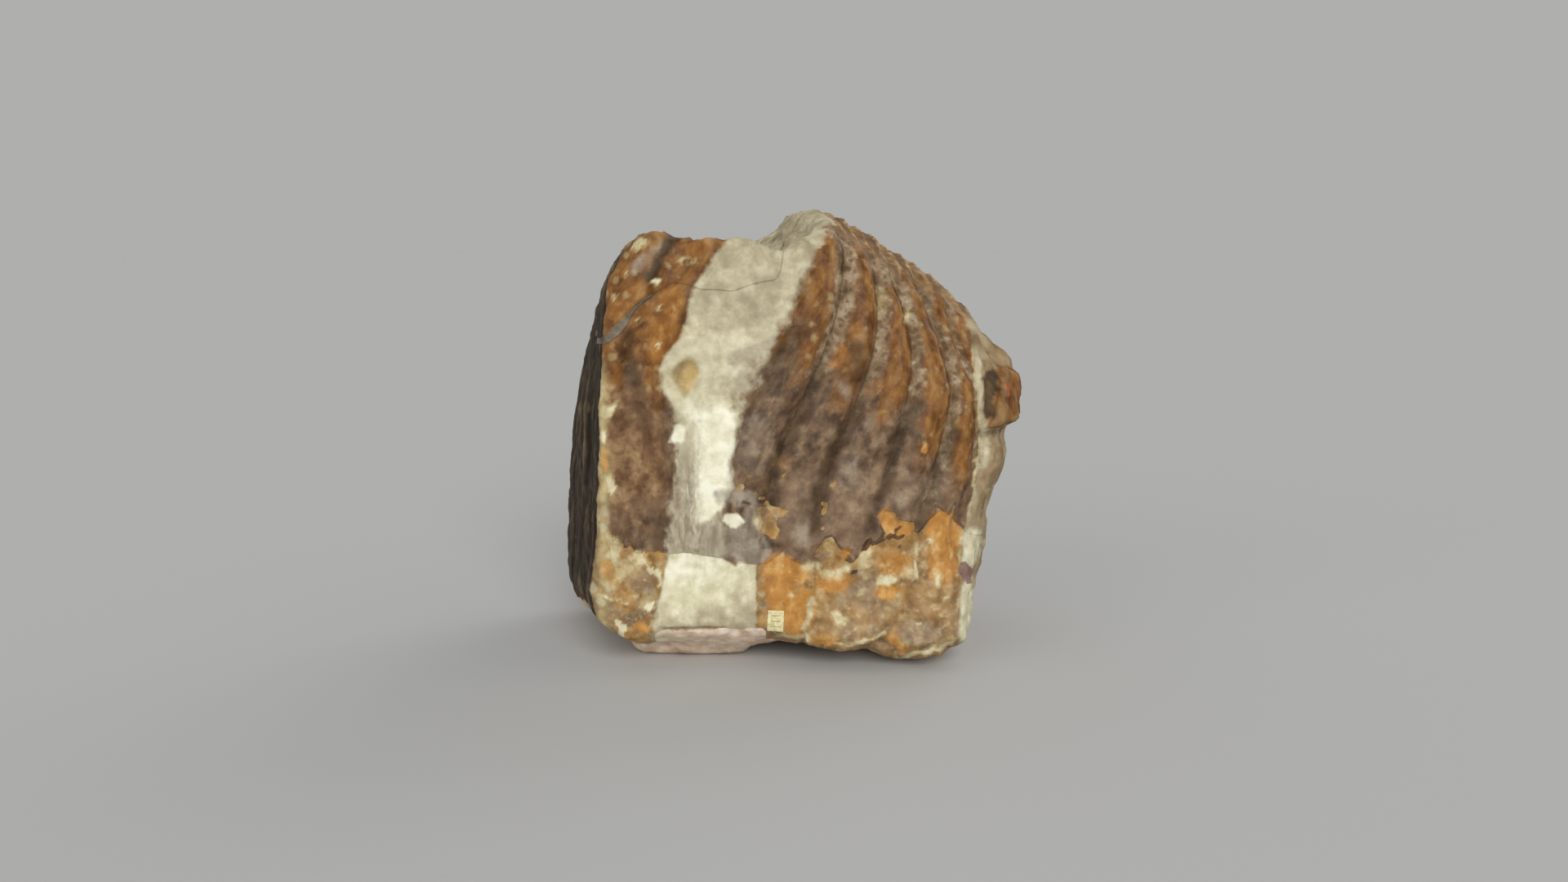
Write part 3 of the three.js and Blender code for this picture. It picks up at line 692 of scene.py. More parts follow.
def gloom_field(skin):
    """Where manganese and shadow darken the grooves and hollows."""
    gloom = brushed(skin.wander_x, skin.wander_z, GLOOM) * skin.facing
    gloom = np.maximum(gloom, brushed(skin.wander_x, skin.y, CROWN_GLOOM) * (skin.crown > 0.1))
    in_grooves = band(skin.across, 0.9, 1, 0.15) + band(skin.across, 0, 0.06, 0.15)
    behind = skin.back * (1 - skin.flank) * in_grooves * band(skin.z, 46, 78, 14) * 0.75
    return np.maximum(gloom, behind)


def proud_field(skin):
    """How far each point is inside the worn end of the plate that stands proud of the right end."""
    lowest, highest = PROUD_HEIGHTS
    slant = 0.4 * (skin.x - 71)
    proud = np.minimum(skin.x - along_curve(skin.z, PROUD_LEFT), skin.z - lowest)
    proud = np.minimum(proud, highest - skin.z + slant)
    return np.minimum(proud, inside_outline(skin.y, skin.z, PROUD_PLATE))


def molar_fields(skin):
    """Named values at every point, which the molar's material turns into its finishes."""
    x, y, z = skin.position.T
    front, back, on_front, drift = skin.front, skin.back, skin.on_front, skin.drift
    film_edge = inside_outline(x, z, FILM_EDGE + BELOW_FILM)
    strip, beside = strip_field(skin)
    cement, block, behind = cement_fields(skin, film_edge)
    crack_side, filler = crack_fields(skin)
    crest = smooth(0.3, 0.55, skin.across) * (1 - smooth(0.8, 0.98, skin.across))
    rust_low = np.where(skin.ahead, along_curve(x, RUST_LOW), 84 + 30 * drift)
    block_top = smooth(12, 36, z) * (1 - 0.45 * smooth(-18, -10, x))
    right_root = front * band(x, 14, 70, 6) * (1 - smooth(20, 36, z))
    fields = {
        "plate": skin.plate,
        "strip": strip,
        "crease": np.abs(beside + 0.5),
        "cement": cement,
        "block": block,
        "whiten": along_curve(z, WHITEN) + 0.4 * drift,
        "block_top": block_top + 0.3 * band(x, -30, -19, 5) * smooth(24, 36, z),
        "root": root_field(skin, film_edge),
        "dusk": (rust_low + 7 - 15 * crest - z) / 12,
        "taupe": band(z, 30, 60, 14) * band(x, 4, 56, 6) * front,
        # where the dark line along the film's edge, a painted shadow under its step, is drawn
        "film_line": np.where(on_front & (x > 2), film_edge + 0.3, FAR),
        "russet": (1 - smooth(-38, -32, x)) * smooth(46, 66, z) * front,
        "chalk": chalk_field(skin),
        "haze": band(z, 30, 66, 20) * (1 - 0.25 * smooth(54, 62, z)) * front,
        "gloom": gloom_field(skin),
        "gleam": brushed(x, z, GLEAM) * skin.sole * (y < -28),
        "drab": np.maximum(right_root, back * (0.5 + 1.3 * drift)),
        "end": smooth(0.45, 0.75, -skin.broad[:, 0] - 0.22 * smooth(-30, -36, y)) * smooth(-30, -45, x),
        "flank": np.where(skin.ahead, smooth(-0.8, 0.8, x - along_curve(z, FLANK_FROM)), skin.flank),
        "proud": proud_field(skin),
        "sole": skin.sole * np.maximum(band(x, -38, -4, 2), smooth(-36, -28, y)),
        "inner_sole": skin.sole * smooth(-34, -16, y),
        "crown": skin.crown * smooth(-36, -18, y),
        "ridge": sum(peak(skin.across, middle, 0.09) for middle in RIDGES),
        "lake": band(skin.across, 0.46, 0.74, 0.08),
        "saddle": np.where(skin.crown > 0.15, np.minimum(behind, z - 128), OFF),
        "crack_side": crack_side,
        "crack": np.abs(crack_side),
        "filler": filler,
        "pit": np.where(on_front, inside_outline(skin.wander_x, skin.wander_z, PIT), OFF),
        "gold": np.where(on_front, 1 - np.hypot((x + 26.6 + 0.12 * (98 - z)) / 4.2, (z - 96.3) / 6.6), OFF),
        "rim": np.where(on_front, along_curve(z, RIM_REACH) - x, OFF),
    }
    uncovered = 1 - smooth(-1, 1, cement)
    # where each groove's dark line of painted shade is drawn
    fields["groove_reach"] = (1 - smooth(0.5, 3, fields["crease"])) * smooth(58, 72, z) * uncovered
    for name, strokes in (("mist", MIST), ("glow", GLOW), ("pale", PALE)):
        fields[name] = brushed(skin.wander_x, skin.wander_z, strokes) * skin.facing
    for name, strokes in (("crumbs", CRUMBS), ("plum", PLUM), ("brick", BRICK)):
        fields[name] = brushed(x, z, strokes) * skin.facing
    return fields


# ---- the molar's relief ----


def side_relief(skin, fields, uncovered):
    """Ribs with their wrinkles, the edges of cement and film, and what is drawn on the front side."""
    x, _, z = skin.position.T
    swell = 0.55 * np.sin(math.pi * np.clip((skin.across - 0.3) / 0.65, 0, 1))
    line = -0.4 * peak(fields["crease"], 0, 1) * smooth(50, 85, z)
    plates = (swell + line) * smooth(34, 60, z) * uncovered
    enamel_skin = (skin.waves("wrinkles") + skin.waves("knots")) * uncovered
    cement_skin = skin.waves("cement_skin") * (1 - uncovered)
    cement_step = 0.35 * smooth(-0.8, 0.8, fields["cement"])
    film_step = 0.3 * (1 - smooth(-0.7, 0.7, fields["root"]))
    crack = -0.38 * peak(fields["crack"], 0, 0.8) - 0.5 * smooth(-0.3, 0.6, fields["filler"])
    pit = -1.0 * smooth(-0.5, 3, fields["pit"])
    ripples = 0.22 * np.sin(z * 2.9 + 0.5 * np.sin(x * 0.4)) * band(z, 15.5, 18.5, 2)
    drawn = crack + pit + ripples * smooth(0, 3, fields["block"]) - brushed(x, z, CRACKLES, total=True)
    both = plates + enamel_skin + cement_skin + cement_step + film_step
    return np.maximum(skin.front, skin.back) * both + skin.front * drawn


def end_relief(skin):
    """The flutes and splinters of the broken left end, with the ledges where it tore across."""
    torn_y = skin.y + skin.waves("tear")
    ledges = 1.3 * smooth(-1, 1, torn_y + 15) - 1.4 * smooth(-1, 1, torn_y - 17)
    return skin.end * (skin.waves("flutes") + skin.waves("splinters") + ledges)


def flank_relief(skin, fields):
    """The knobs and folds of the worn right end, and the plate that stands proud of it over a notch."""
    notch = peak(skin.z, 76.5, 2.2) * (skin.x > 66) * smooth(-10, -22, skin.y)
    plate_end = 1.4 * smooth(-0.5, 1, fields["proud"]) - 1.5 * notch
    worn = skin.waves("knobs") + skin.waves("swells") + skin.waves("folds")
    return skin.flank * worn + np.maximum(skin.flank, skin.front) * plate_end


def crown_relief(skin, uncovered):
    """Low enamel ridges across the crown with hollows of dentine between them."""
    ridges = 0.6 * sum(peak(skin.across, middle, 0.07) for middle in RIDGES)
    lake = -0.5 * band(skin.across, 0.44, 0.76, 0.1)
    worn = skin.crown * (1 - skin.front) * uncovered * (ridges + lake)
    return worn + skin.crown * skin.waves("crown_skin")


def relieve(skin, fields):
    """How far each point moves out along its broad normal, in millimetres."""
    uncovered = 1 - smooth(-1, 1, fields["cement"])
    sole = skin.sole * skin.waves("sole_skin") * smooth(0.5, 3, skin.z)
    lumps = skin.waves("lumps") * (1 - skin.sole)
    return (side_relief(skin, fields, uncovered) + end_relief(skin) + flank_relief(skin, fields)
            + crown_relief(skin, uncovered) + sole + lumps)


# ---- meshes ----


def molar_skin(levels):
    """A copy of the frame's molar with its facets merged, joined to quads and subdivided."""
    bm = bmesh.new()
    bm.from_mesh(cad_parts["molar"].data)
    bmesh.ops.remove_doubles(bm, verts=bm.verts, dist=0.01 * MM)
    any_angle = math.pi
    bmesh.ops.join_triangles(
        bm, faces=bm.faces, angle_face_threshold=any_angle, angle_shape_threshold=any_angle)
    coarse = bpy.data.meshes.new("molar_coarse")
    bm.to_mesh(coarse)
    bm.free()
    piece = bpy.data.objects.new("molar_coarse", coarse)
    bpy.context.scene.collection.objects.link(piece)
    subdivision = piece.modifiers.new("Subdivision", "SUBSURF")
    subdivision.levels = subdivision.render_levels = levels
    graph = bpy.context.evaluated_depsgraph_get()
    mesh = bpy.data.meshes.new_from_object(piece.evaluated_get(graph))
    bpy.data.objects.remove(piece)
    bpy.data.meshes.remove(coarse)
    mesh.name = "molar_surface"
    return mesh


def label_sheet(settings):
    """A grid of paper, with its ruled lines as an attribute, laid on the molar's surface."""
    bm = bmesh.new()
    bm.from_mesh(bpy.data.objects["molar_surface"].data)
    surface = BVHTree.FromBMesh(bm)
    bm.free()
    low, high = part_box("number_label")
    middle = (low + high) / 2
    width = settings.width_share * (high.x - low.x)
    height = settings.height_share * (high.z - low.z)
    bm = bmesh.new()
    columns, rows = LABEL_CELLS
    bmesh.ops.create_grid(bm, x_segments=columns, y_segments=rows, size=0.5)
    ink = bm.verts.layers.float.new("ink")
    for vert in bm.verts:
        u, v = vert.co.x, vert.co.y
        near = min(abs(v - line) for line in RULED_LINES)
        vert[ink] = (1 - min(1, near / RULED_HALF_WIDTH)) * (abs(u) < RULED_REACH)
        vert.co = Vector((u * width, 0, v * height))
    bmesh.ops.rotate(bm, verts=bm.verts, cent=(0, 0, 0), matrix=Matrix.Rotation(settings.turn, 3, "Y"))
    for vert in bm.verts:
        start = Vector((vert.co.x + middle.x, CAD_LOW.y - 20 * MM, vert.co.z + middle.z))
        hit = surface.ray_cast(start, Vector((0, 1, 0)))[0]
        vert.co = Vector((start.x, hit.y - settings.clearance, start.z))
    for _ in range(LABEL_SMOOTHING):
        bmesh.ops.smooth_vert(bm, verts=bm.verts, factor=0.5, use_axis_y=True)
    mesh = bpy.data.meshes.new("paper_label")
    bm.to_mesh(mesh)
    bm.free()
    return mesh


def add_piece(name, mesh, node, material):
    """A finished piece that rides on the molar's body and stands for a CAD node."""
    piece = bpy.data.objects.new(name, mesh)
    bpy.context.scene.collection.objects.link(piece)
    mesh.materials.append(material)
    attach(piece, "root")
    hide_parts(node)
    return piece


# ---- materials ----


def add_node(tree, kind, inputs=None, output=0, stops=None, **settings):
    """Adds a shader node with its settings, values and links, and returns one of its outputs."""
    node = tree.nodes.new("ShaderNode" + kind)
    for name, value in settings.items():
        setattr(node, name, value)
    for name, value in (inputs or {}).items():
        if isinstance(value, NodeSocket):
            tree.links.new(value, node.inputs[name])
        else:
            node.inputs[name].default_value = value
    if stops:
        elements = node.color_ramp.elements
        for place, colour in stops[2:]:
            elements.new(place)
        for element, (place, colour) in zip(elements, sorted(stops)):
            element.position = place
            element.color = (*colour, 1)
    return node.outputs[output]


def new_material(name):
    """An empty node material with its shader, its links, and the function that adds nodes to it."""
    material = bpy.data.materials.new(name)
    material.use_nodes = True
    tree = material.node_tree
    return material, tree.nodes["Principled BSDF"], tree.links, partial(add_node, tree)


def tinted(name, main):
    """A finish's colour stops, with the middle tone turned to the main colour and the others following."""
    stops = []
    for place, tone in TONES[name]:
        channels = zip(linear(tone), main, linear(MAIN[name]))
        stops.append((place, tuple(own * wanted / middle for own, wanted, middle in channels)))
    return stops


class Stains:
    """Lays mineral stains over each other on the tooth, each where one of its fields or patterns is high."""

    def __init__(self, add, fields, settings):
        self.add = add
        self.settings = settings
        self.ground = None
        place = add("TexCoord", output="Object")
        split = add("SeparateXYZ", {0: place}).node.outputs
        self.source = {name: add("Attribute", output="Fac", attribute_name=name) for name in fields}
        run = add("Math", {0: self.source["plate"], 1: PLATE_SPACING * MM}, operation="MULTIPLY")
        for name, (size, detail, roughness, distortion, stretch) in PATTERNS.items():
            vector = place
            if stretch > 1:
                height = add("Math", {0: split["Z"], 1: 1 / stretch}, operation="MULTIPLY")
                vector = add("CombineXYZ", {"X": run, "Y": split["Y"], "Z": height})
            inputs = {"Vector": vector, "Scale": 1 / (size * MM), "Detail": detail, "Roughness": roughness,
                      "Distortion": distortion}
            self.source[name] = add("TexNoise", inputs)
        bends = add("TexNoise", {"Vector": place, "Scale": 1 / (BEND_SIZE * MM)}, output="Color")
        for name, (measure, spacing, bend) in CELLS.items():
            inputs = {0: bends, 1: (bend * MM, bend * MM, bend * MM), 2: place}
            vector = add("VectorMath", inputs, operation="MULTIPLY_ADD")
            inputs = {"Vector": vector, "Scale": 1 / (spacing * MM)}
            self.source[name] = add("TexVoronoi", inputs, output="Distance", feature=measure)
        shifted = add("Math", {0: self.source["plate"], 1: GROOVE_SHIFT}, operation="ADD")
        self.source["from_groove"] = add("Math", {0: shifted, 1: 0.5}, operation="PINGPONG")
        for name, field in (("crack", "crack_side"), ("film_edge", "film_line"), ("filler", "filler")):
            self.source["from_" + name] = add("Math", {0: self.source[field]}, operation="ABSOLUTE")
        inputs = {"Value": self.source["crack"], "From Min": 2.0, "From Max": 1.2}
        self.source["near_crack"] = add("MapRange", inputs)

    def lay(self, finish, by, where=None, low=0, high=1, strength=1.0, within=None, **frays):
        """Lay a finish whose tones follow the pattern by, and return its cover.

        Its cover grows from nothing to strength as the field or pattern named where goes from low to high.
        Patterns fray its edge, each by its amount, and it stays within a field or another stain's cover.
        """
        add = self.add
        main = getattr(self.settings, finish, linear(MAIN[finish]))
        colour = add("ValToRGB", {"Fac": self.source[by]}, stops=tinted(finish, main))
        if where is None:
            self.ground = colour
            return None
        value = self.source[where]
        for name, amount in frays.items():
            value = add("Math", {0: self.source[name], 1: amount, 2: value}, operation="MULTIPLY_ADD")
        shift = sum(frays.values()) / 2
        inputs = {"Value": value, "From Min": low + shift, "From Max": high + shift, "To Max": strength}
        cover = add("MapRange", inputs, interpolation_type="SMOOTHSTEP")
        if within is not None:
            within = self.source[within] if isinstance(within, str) else within
            cover = add("Math", {0: cover, 1: within}, operation="MULTIPLY")
        self.ground = add("Mix", {0: cover, 6: self.ground, 7: colour}, output=2, data_type="RGBA")
        return cover


def stain_enamel(lay):
    """Rusty ribs, the dark film lower down, and spotted pale cement in the grooves."""
    lay("rust", "grain")
    lay("umber", "mottle", "mottle", 0.5, 0.72, 0.45, brush=0.3)
    lay("orange", "mottle", "brush", 0.5, 0.76, 0.42, mottle=0.6)
    lay("straw", "mottle", "specks", 0.34, 0.06, 0.5, mottle=0.5)
    film = lay("film", "grain", "dusk", -0.9, 1.1, brush=3, mottle=2.2)
    lay("liver", "mottle", "blotch", 0.46, 0.68, 0.5, film, mottle=0.5)
    lay("lavender", "mottle", "mottle", 0.5, 0.8, 0.2, film, brush=0.5)
    lay("taupe", "mottle", "taupe", 0.1, 1, 0.7, film, mottle=0.8)
    lay("russet", "mottle", "russet", 0.1, 0.9, 0.85, film, blotch=0.8)
    strip = lay("strip", "mottle", "strip", -0.9, 1.3, 0.85, mottle=3, speckle=1.5)
    lay("smudge", "speckle", "mottle", 0.5, 0.7, 0.6, strip, speckle=0.2)
    lay("umber", "speckle", "leopard", 0.55, 0.24, 0.65, strip, mottle=0.6, speckle=0.2)
    # a dark line along each groove: painted shade in the crease
    lay("umber", "mottle", "from_groove", 0.05, 0, 0.65, "groove_reach", mottle=0.05, blotch=0.08)
    lay("lavender", "mottle", "mist", 0, 1.1, 0.8, mottle=0.6, brush=0.6)
    lay("gloom", "grain", "gloom", 0, 1, 0.92, grain=0.8, brush=0.7)
    return strip


def stain_root(lay):
    """The bare root below the film, and the film's broken edge."""
    root = lay("ochre", "mottle", "root", -0.12, 0.12, ragged=1.4)
    lay("drab", "mottle", "blotch", 0.44, 0.6, 0.65, root, mottle=0.5)
    lay("drab", "mottle", "drab", 0.1, 1.2, 0.8, root, blotch=1.6, mottle=1.2)
    lay("amber", "grain", "brush", 0.48, 0.7, 0.55, root, mottle=0.6)
    lay("smudge", "speckle", "mottle", 0.5, 0.72, 0.5, root, spots=0.6, blotch=0.9)
    lay("umber", "speckle", "spots", 0.52, 0.84, 0.5, root, mottle=0.4, blotch=1.1)
    lay("straw", "speckle", "specks", 0.4, 0.08, 0.45, root, mottle=0.5)
    # a dark line along the film's broken edge: painted shadow under its raised step
    lay("gloom", "mottle", "from_film_edge", 0.3, 0, 0.6, ragged=1.5, blotch=2)
    lay("smudge", "grain", "mist", 0, 1.1, 0.7, root, mottle=0.9, speckle=0.3)
    lay("orange", "mottle", "glow", 0, 1.1, 0.85, mottle=1)
    lay("amber", "grain", "glow", 0, 1.2, 0.88, root, mottle=1.3, spots=0.9)
    lay("straw", "speckle", "spots", 0.54, 0.8, 0.5, root, grain=0.5)
    return root


def stain_rim(lay):
    """The light rim of the left edge, and the pale and dark specks over the whole front side, with one
    painted glint.
    """
    rim = lay("pit", "grain", "rim", -1.2, 1.8, 0.9, mottle=2.2, speckle=0.8)
    lay("straw", "grain", "brush", 0.36, 0.66, 0.6, rim, grain=0.5)
    lay("drab", "grain", "rim", 2.6, 4.8, 0.8, rim, mottle=1.2)
    lay("amber", "mottle", "glow", 0, 0.9, 0.8, rim, mottle=0.6)
    lay("pale", "mottle", "specks", 0.5, 0.2, 0.5, rim, mottle=0.4)
    lay("straw", "mottle", "pale", 0, 1.1, 0.85, mottle=0.5, speckle=0.7)
    lay("pale", "mottle", "pale", 0.45, 1.3, 0.9, mottle=0.3, speckle=0.6)
    lay("umber", "speckle", "crumbs", 0.3, 0.6, 0.9, speckle=0.5)


def stain_cement(lay):
    """The cement band, its block below the film, and its chalky patches."""
    cement = lay("cream", "mottle", "cement", -0.8, 1.1, mottle=2.4, wisps=1.2)
    lay("pale", "mottle", "whiten", 0.1, 1, 0.55, cement, mottle=0.8, blotch=1.2)
    lay("haze", "wisps", "haze", 0.1, 0.9, 0.95, cement, mottle=1, wisps=0.8)
    block = lay("cream", "mottle", "block", -0.4, 0.5, mottle=1)
    lay("pale", "mottle", "block_top", -0.1, 0.7, 0.95, block, blotch=1.4, mottle=0.6)
    lay("chalk", "mottle", "block_top", 0.8, 1.4, 0.8, block, mottle=1.2)
    lay("drab", "mottle", "gloom", 0.1, 0.8, 0.7, block, mottle=0.4)
    chalk = lay("chalk", "mottle", "chalk", -0.9, 1, ragged=3, wisps=1.4)
    # grey where the mist strokes reach the cement: haze, with painted shade along the band's right edge
    lay("smudge", "grain", "mist", 0.3, 1.1, 0.8, cement, mottle=0.8, speckle=0.5)
    return cement, chalk


def stain_ends(lay):
    """The broken left end, the worn right end, and the plate that stands proud of it."""
    end = lay("black", "splinter", "end", 0.4, 0.6, mottle=0.4)
    # bark paler on the raised splinters, the hollows between them left black
    lay("bark", "splinter", "cavity", 0.02, -0.3, 0.6, end, splinter=0.5)
    lay("bark", "splinter", "wisps", 0.52, 0.74, 0.5, end, blotch=0.6)
    flank = lay("flank", "brush", "flank", 0.3, 0.7, mottle=0.8)
    lay("straw", "mottle", "blotch", 0.5, 0.72, 0.45, flank, grain=0.5)
    lay("rust", "mottle", "blotch", 0.48, 0.32, 0.35, flank, mottle=0.5)
    lay("taupe", "mottle", "brush", 0.5, 0.72, 0.5, flank, blotch=0.9)
    # painted shade: darker in the hollows of the right end
    lay("umber", "mottle", "cavity", 0.05, 0.5, 0.6, flank, spots=0.2)
    lay("umber", "mottle", "fissures", 0.035, 0.004, 0.3, flank, mottle=0.03)
    lay("rust", "grain", "proud", -1.6, 0, mottle=1.6)
    # manganese and painted shade in the proud plate's hollow
    lay("gloom", "grain", "gloom", 0.2, 1.1, 0.9, "flank", mottle=0.2)
    lay("cream", "mottle", "pale", 0.1, 0.9, 0.8, "flank", mottle=0.5)
    lay("pale", "mottle", "pale", 0.5, 1.2, 0.8, "flank", mottle=0.5)
    lay("brick", "speckle", "brick", 0.2, 0.7, 0.6, speckle=0.7)
    lay("plum", "mottle", "plum", 0.2, 0.7, 0.9, mottle=0.6)
    return end, flank


def stain_crown_and_sole(lay):
    """The chewing face, the cement saddle across it, and the broken underside."""
    crown = lay("drab", "grain", "crown", 0.2, 0.9, 0.9, mottle=0.8)
    lay("rust", "grain", "brush", 0.46, 0.68, 0.55, crown, mottle=0.5)
    lay("enamel", "grain", "ridge", 0.2, 0.8, 0.85, crown, speckle=0.6)
    lay("dentine", "mottle", "lake", 0.2, 0.8, 0.85, crown, mottle=0.6)
    # olive lightened as painted light on the saddle's slope
    saddle = lay("olive", "mottle", "saddle", -1.5, 2, 0.95, mottle=4)
    lay("umber", "mottle", "fissures", 0.03, 0.006, 0.2, saddle, mottle=0.03)
    lay("gloom", "mottle", "gloom", 0.3, 1.2, 0.5, saddle, speckle=0.8)
    # the sole's buff stands lighter than its own colour: painted light on a downward face
    sole = lay("buff", "mottle", "sole", 0.4, 0.6, mottle=0.5)
    lay("drab", "mottle", "blotch", 0.44, 0.66, 0.75, "inner_sole", mottle=0.6)
    lay("rust", "grain", "ragged", 0.52, 0.72, 0.5, "inner_sole", blotch=0.9)
    # painted highlights on the slab
    lay("pale", "mottle", "gleam", 0.1, 0.9, 0.8, sole, mottle=0.5)
    return crown, sole


def stain_marks(lay):
    """The corner's crack and its filler, the tan pit, painted shade in the hollows and paler raised places.
    """
    lay("putty", "mottle", "filler", -0.1, 0.25, speckle=0.6)
    crack = lay("umber", "speckle", "from_crack", 0.34, 0.05, 0.38, "near_crack", mottle=0.4)
    # dark lines along the filler's lips: painted shade where the filler sinks below them
    lay("gloom", "speckle", "from_filler", 0.25, 0.05, 0.42, "near_crack", speckle=0.2)
    lay("pit", "mottle", "pit", -0.6, 1.6, 0.95, mottle=1.2)
    lay("gold", "mottle", "gold", 0, 0.7, 0.9, mottle=0.4)
    # painted shade: darker wherever the surface lies in a hollow
    lay("gloom", "mottle", "cavity", 0.05, 0.45, 0.5)
    # paler wherever the surface stands raised
    lay("straw", "mottle", "cavity", -0.08, -0.5, 0.2)
    return crack


def fossil_tooth_material(fields, settings):
    """Mineral-stained fossil tooth: enamel, rusty with iron and browned with manganese, and dull cement.

    Buried enamel keeps a low satin gloss, while cement and dentine are porous and matt, so the ribs catch a
    soft light that the cement band and the broken faces don't.
    """
    material, shader, links, add = new_material("mineral_stained_tooth")
    stains = Stains(add, fields, settings)
    strip = stain_enamel(stains.lay)
    root = stain_root(stains.lay)
    stain_rim(stains.lay)
    cement, chalk = stain_cement(stains.lay)
    end, flank = stain_ends(stains.lay)
    crown, sole = stain_crown_and_sole(stains.lay)
    crack = stain_marks(stains.lay)
    links.new(stains.ground, shader.inputs["Base Color"])

    porous = cement
    for cover in (end, sole, strip, flank, crown):
        porous = add("Math", {0: porous, 1: cover}, operation="MAXIMUM")
    gloss = add("MapRange", {"Value": porous, "To Min": SATIN, "To Max": MATT})
    gloss = add("Math", {0: stains.source["mottle"], 1: GLOSS_CHANGE, 2: gloss}, operation="MULTIPLY_ADD")
    gloss = add("Math", {0: gloss, 1: GLOSS_CHANGE / 2}, operation="SUBTRACT")
    links.new(gloss, shader.inputs["Roughness"])
    shader.inputs["IOR"].default_value = 1.55
    shader.inputs["Specular IOR Level"].default_value = 0.2

    height = add("Math", {0: stains.source["speckle"], 1: 0.22}, operation="MULTIPLY")
    bumps = [(stains.source["grain"], 0.3), (stains.source["mottle"], 0.2)]
    bumps += [(root, -0.3), (crack, -0.4), (cement, 0.1), (chalk, 0.15)]
    for source, amount in bumps:
        height = add("Math", {0: source, 1: amount, 2: height}, operation="MULTIPLY_ADD")
    links.new(add("Bump", {"Height": height, "Strength": 0.7, "Distance": MM}), shader.inputs["Normal"])
    return material


def paper_material():
    """Aged uncoated rag paper: matt, yellowed and a little foxed, with plain ruled lines in brown ink."""
    material, shader, links, add = new_material("aged_label_paper")
    place = add("TexCoord", output="Object")
    # clumps of fibre are finer than the render can show, so they are drawn 1.4 mm across
    fibres = add("TexNoise", {"Vector": place, "Scale": 1 / (1.4 * MM), "Detail": 5.0})
    paper = add("ValToRGB", {"Fac": fibres}, stops=[(tone_at, linear(tone)) for tone_at, tone in PAPER])
    ink = add("Attribute", output="Fac", attribute_name="ink")
    worn = add("Math", {0: fibres, 1: -0.8, 2: ink}, operation="MULTIPLY_ADD")
    cover = add("MapRange", {"Value": worn, "From Min": -0.1, "From Max": 0.5, "To Max": 0.7})
    inked = add("Mix", {0: cover, 6: paper, 7: (*linear(INK), 1)}, output=2, data_type="RGBA")
    links.new(inked, shader.inputs["Base Color"])
    shader.inputs["Roughness"].default_value = 0.9
    relief = add("Bump", {"Height": fibres, "Strength": 0.3, "Distance": 0.1 * MM})
    links.new(relief, shader.inputs["Normal"])
    return material


def floor_material(colour):
    """Matt painted board, a flat pale grey with no sheen, so that it meets the background without a line."""
    material, shader, _, _ = new_material("pale_studio_floor")
    shader.inputs["Base Color"].default_value = (*colour, 1)
    shader.inputs["Roughness"].default_value = 0.8
    shader.inputs["Specular IOR Level"].default_value = 0
    return material


# ---- settings ----


def colour_setting(finish, description):
    """A colour property whose default is a finish's middle tone."""
    return FloatVectorProperty(
        name=finish.capitalize(), description=description, subtype="COLOR", min=0, max=1,
        default=linear(MAIN[finish]))


def length_setting(name, description, default):
    """A length property, in metres."""
    return FloatProperty(
        name=name, description=description, default=default, subtype="DISTANCE", unit="LENGTH")


class MolarSettings(PropertyGroup):
    """How fine the molar is, and the main colours of its stains"""

    subdivision: IntProperty(name="Subdivision", description="How finely the skin is divided",
                             default=2, min=1, max=2)
    relief: FloatProperty(name="Relief", description="Strength of the fine relief", default=1, min=0, max=2)
    rust: colour_setting("rust", "Iron-stained enamel of the upper plates")
    strip: colour_setting("strip", "Cement in the grooves between the plates")
    film: colour_setting("film", "Manganese film on the lower plates")
    ochre: colour_setting("ochre", "Bare root below the film")
    cream: colour_setting("cream", "Smooth cement band")
    chalk: colour_setting("chalk", "Chalky patches on the cement band")
    black: colour_setting("black", "Broken left end")
    flank: colour_setting("flank", "Cement on the right end")
    buff: colour_setting("buff", "Dentine of the broken sole")


class LabelSettings(PropertyGroup):
    """Size and place of the paper"""

    clearance: length_setting("Clearance", "Gap between the paper and the tooth", 0.15 * MM)
    thickness: length_setting("Thickness", "Thickness of the paper", 0.15 * MM)
    width_share: FloatProperty(name="Width", description="Share of its box's width that the paper fills",
                               subtype="FACTOR", default=0.93, min=0, max=1)
    height_share: FloatProperty(name="Height", description="Share of its box's height that the paper fills",
                                subtype="FACTOR", default=0.96, min=0, max=1)
    turn: FloatProperty(name="Turn", description="How crookedly the label sits", subtype="ANGLE",
                        default=0.05)


class StageSettings(PropertyGroup):
    """Floor, lights and camera"""

    floor_radius: length_setting("Floor radius", "Radius of the flat floor", 30)
    floor_colour: FloatVectorProperty(name="Floor colour", description="Colour of the floor",
                                      subtype="COLOR", min=0, max=1, default=linear("c3c3c2"))
    key: FloatProperty(name="Key light", description="Strength of the main light, in watts per square metre",
                       default=1.6)
    sky: FloatProperty(name="Sky", description="Strength of the light from all around", default=0.48)
    lens: FloatProperty(name="Lens", description="Focal length of the camera, in millimetres", default=32.11)
    camera_place: FloatVectorProperty(name="Camera", description="Where the camera stands",
                                      subtype="TRANSLATION", unit="LENGTH",
                                      default=(0.003, -0.4803, 0.1375))
    camera_tilt: FloatProperty(name="Tilt", description="How far the camera looks down", subtype="ANGLE",
                               default=math.radians(8))


# ---- operators ----


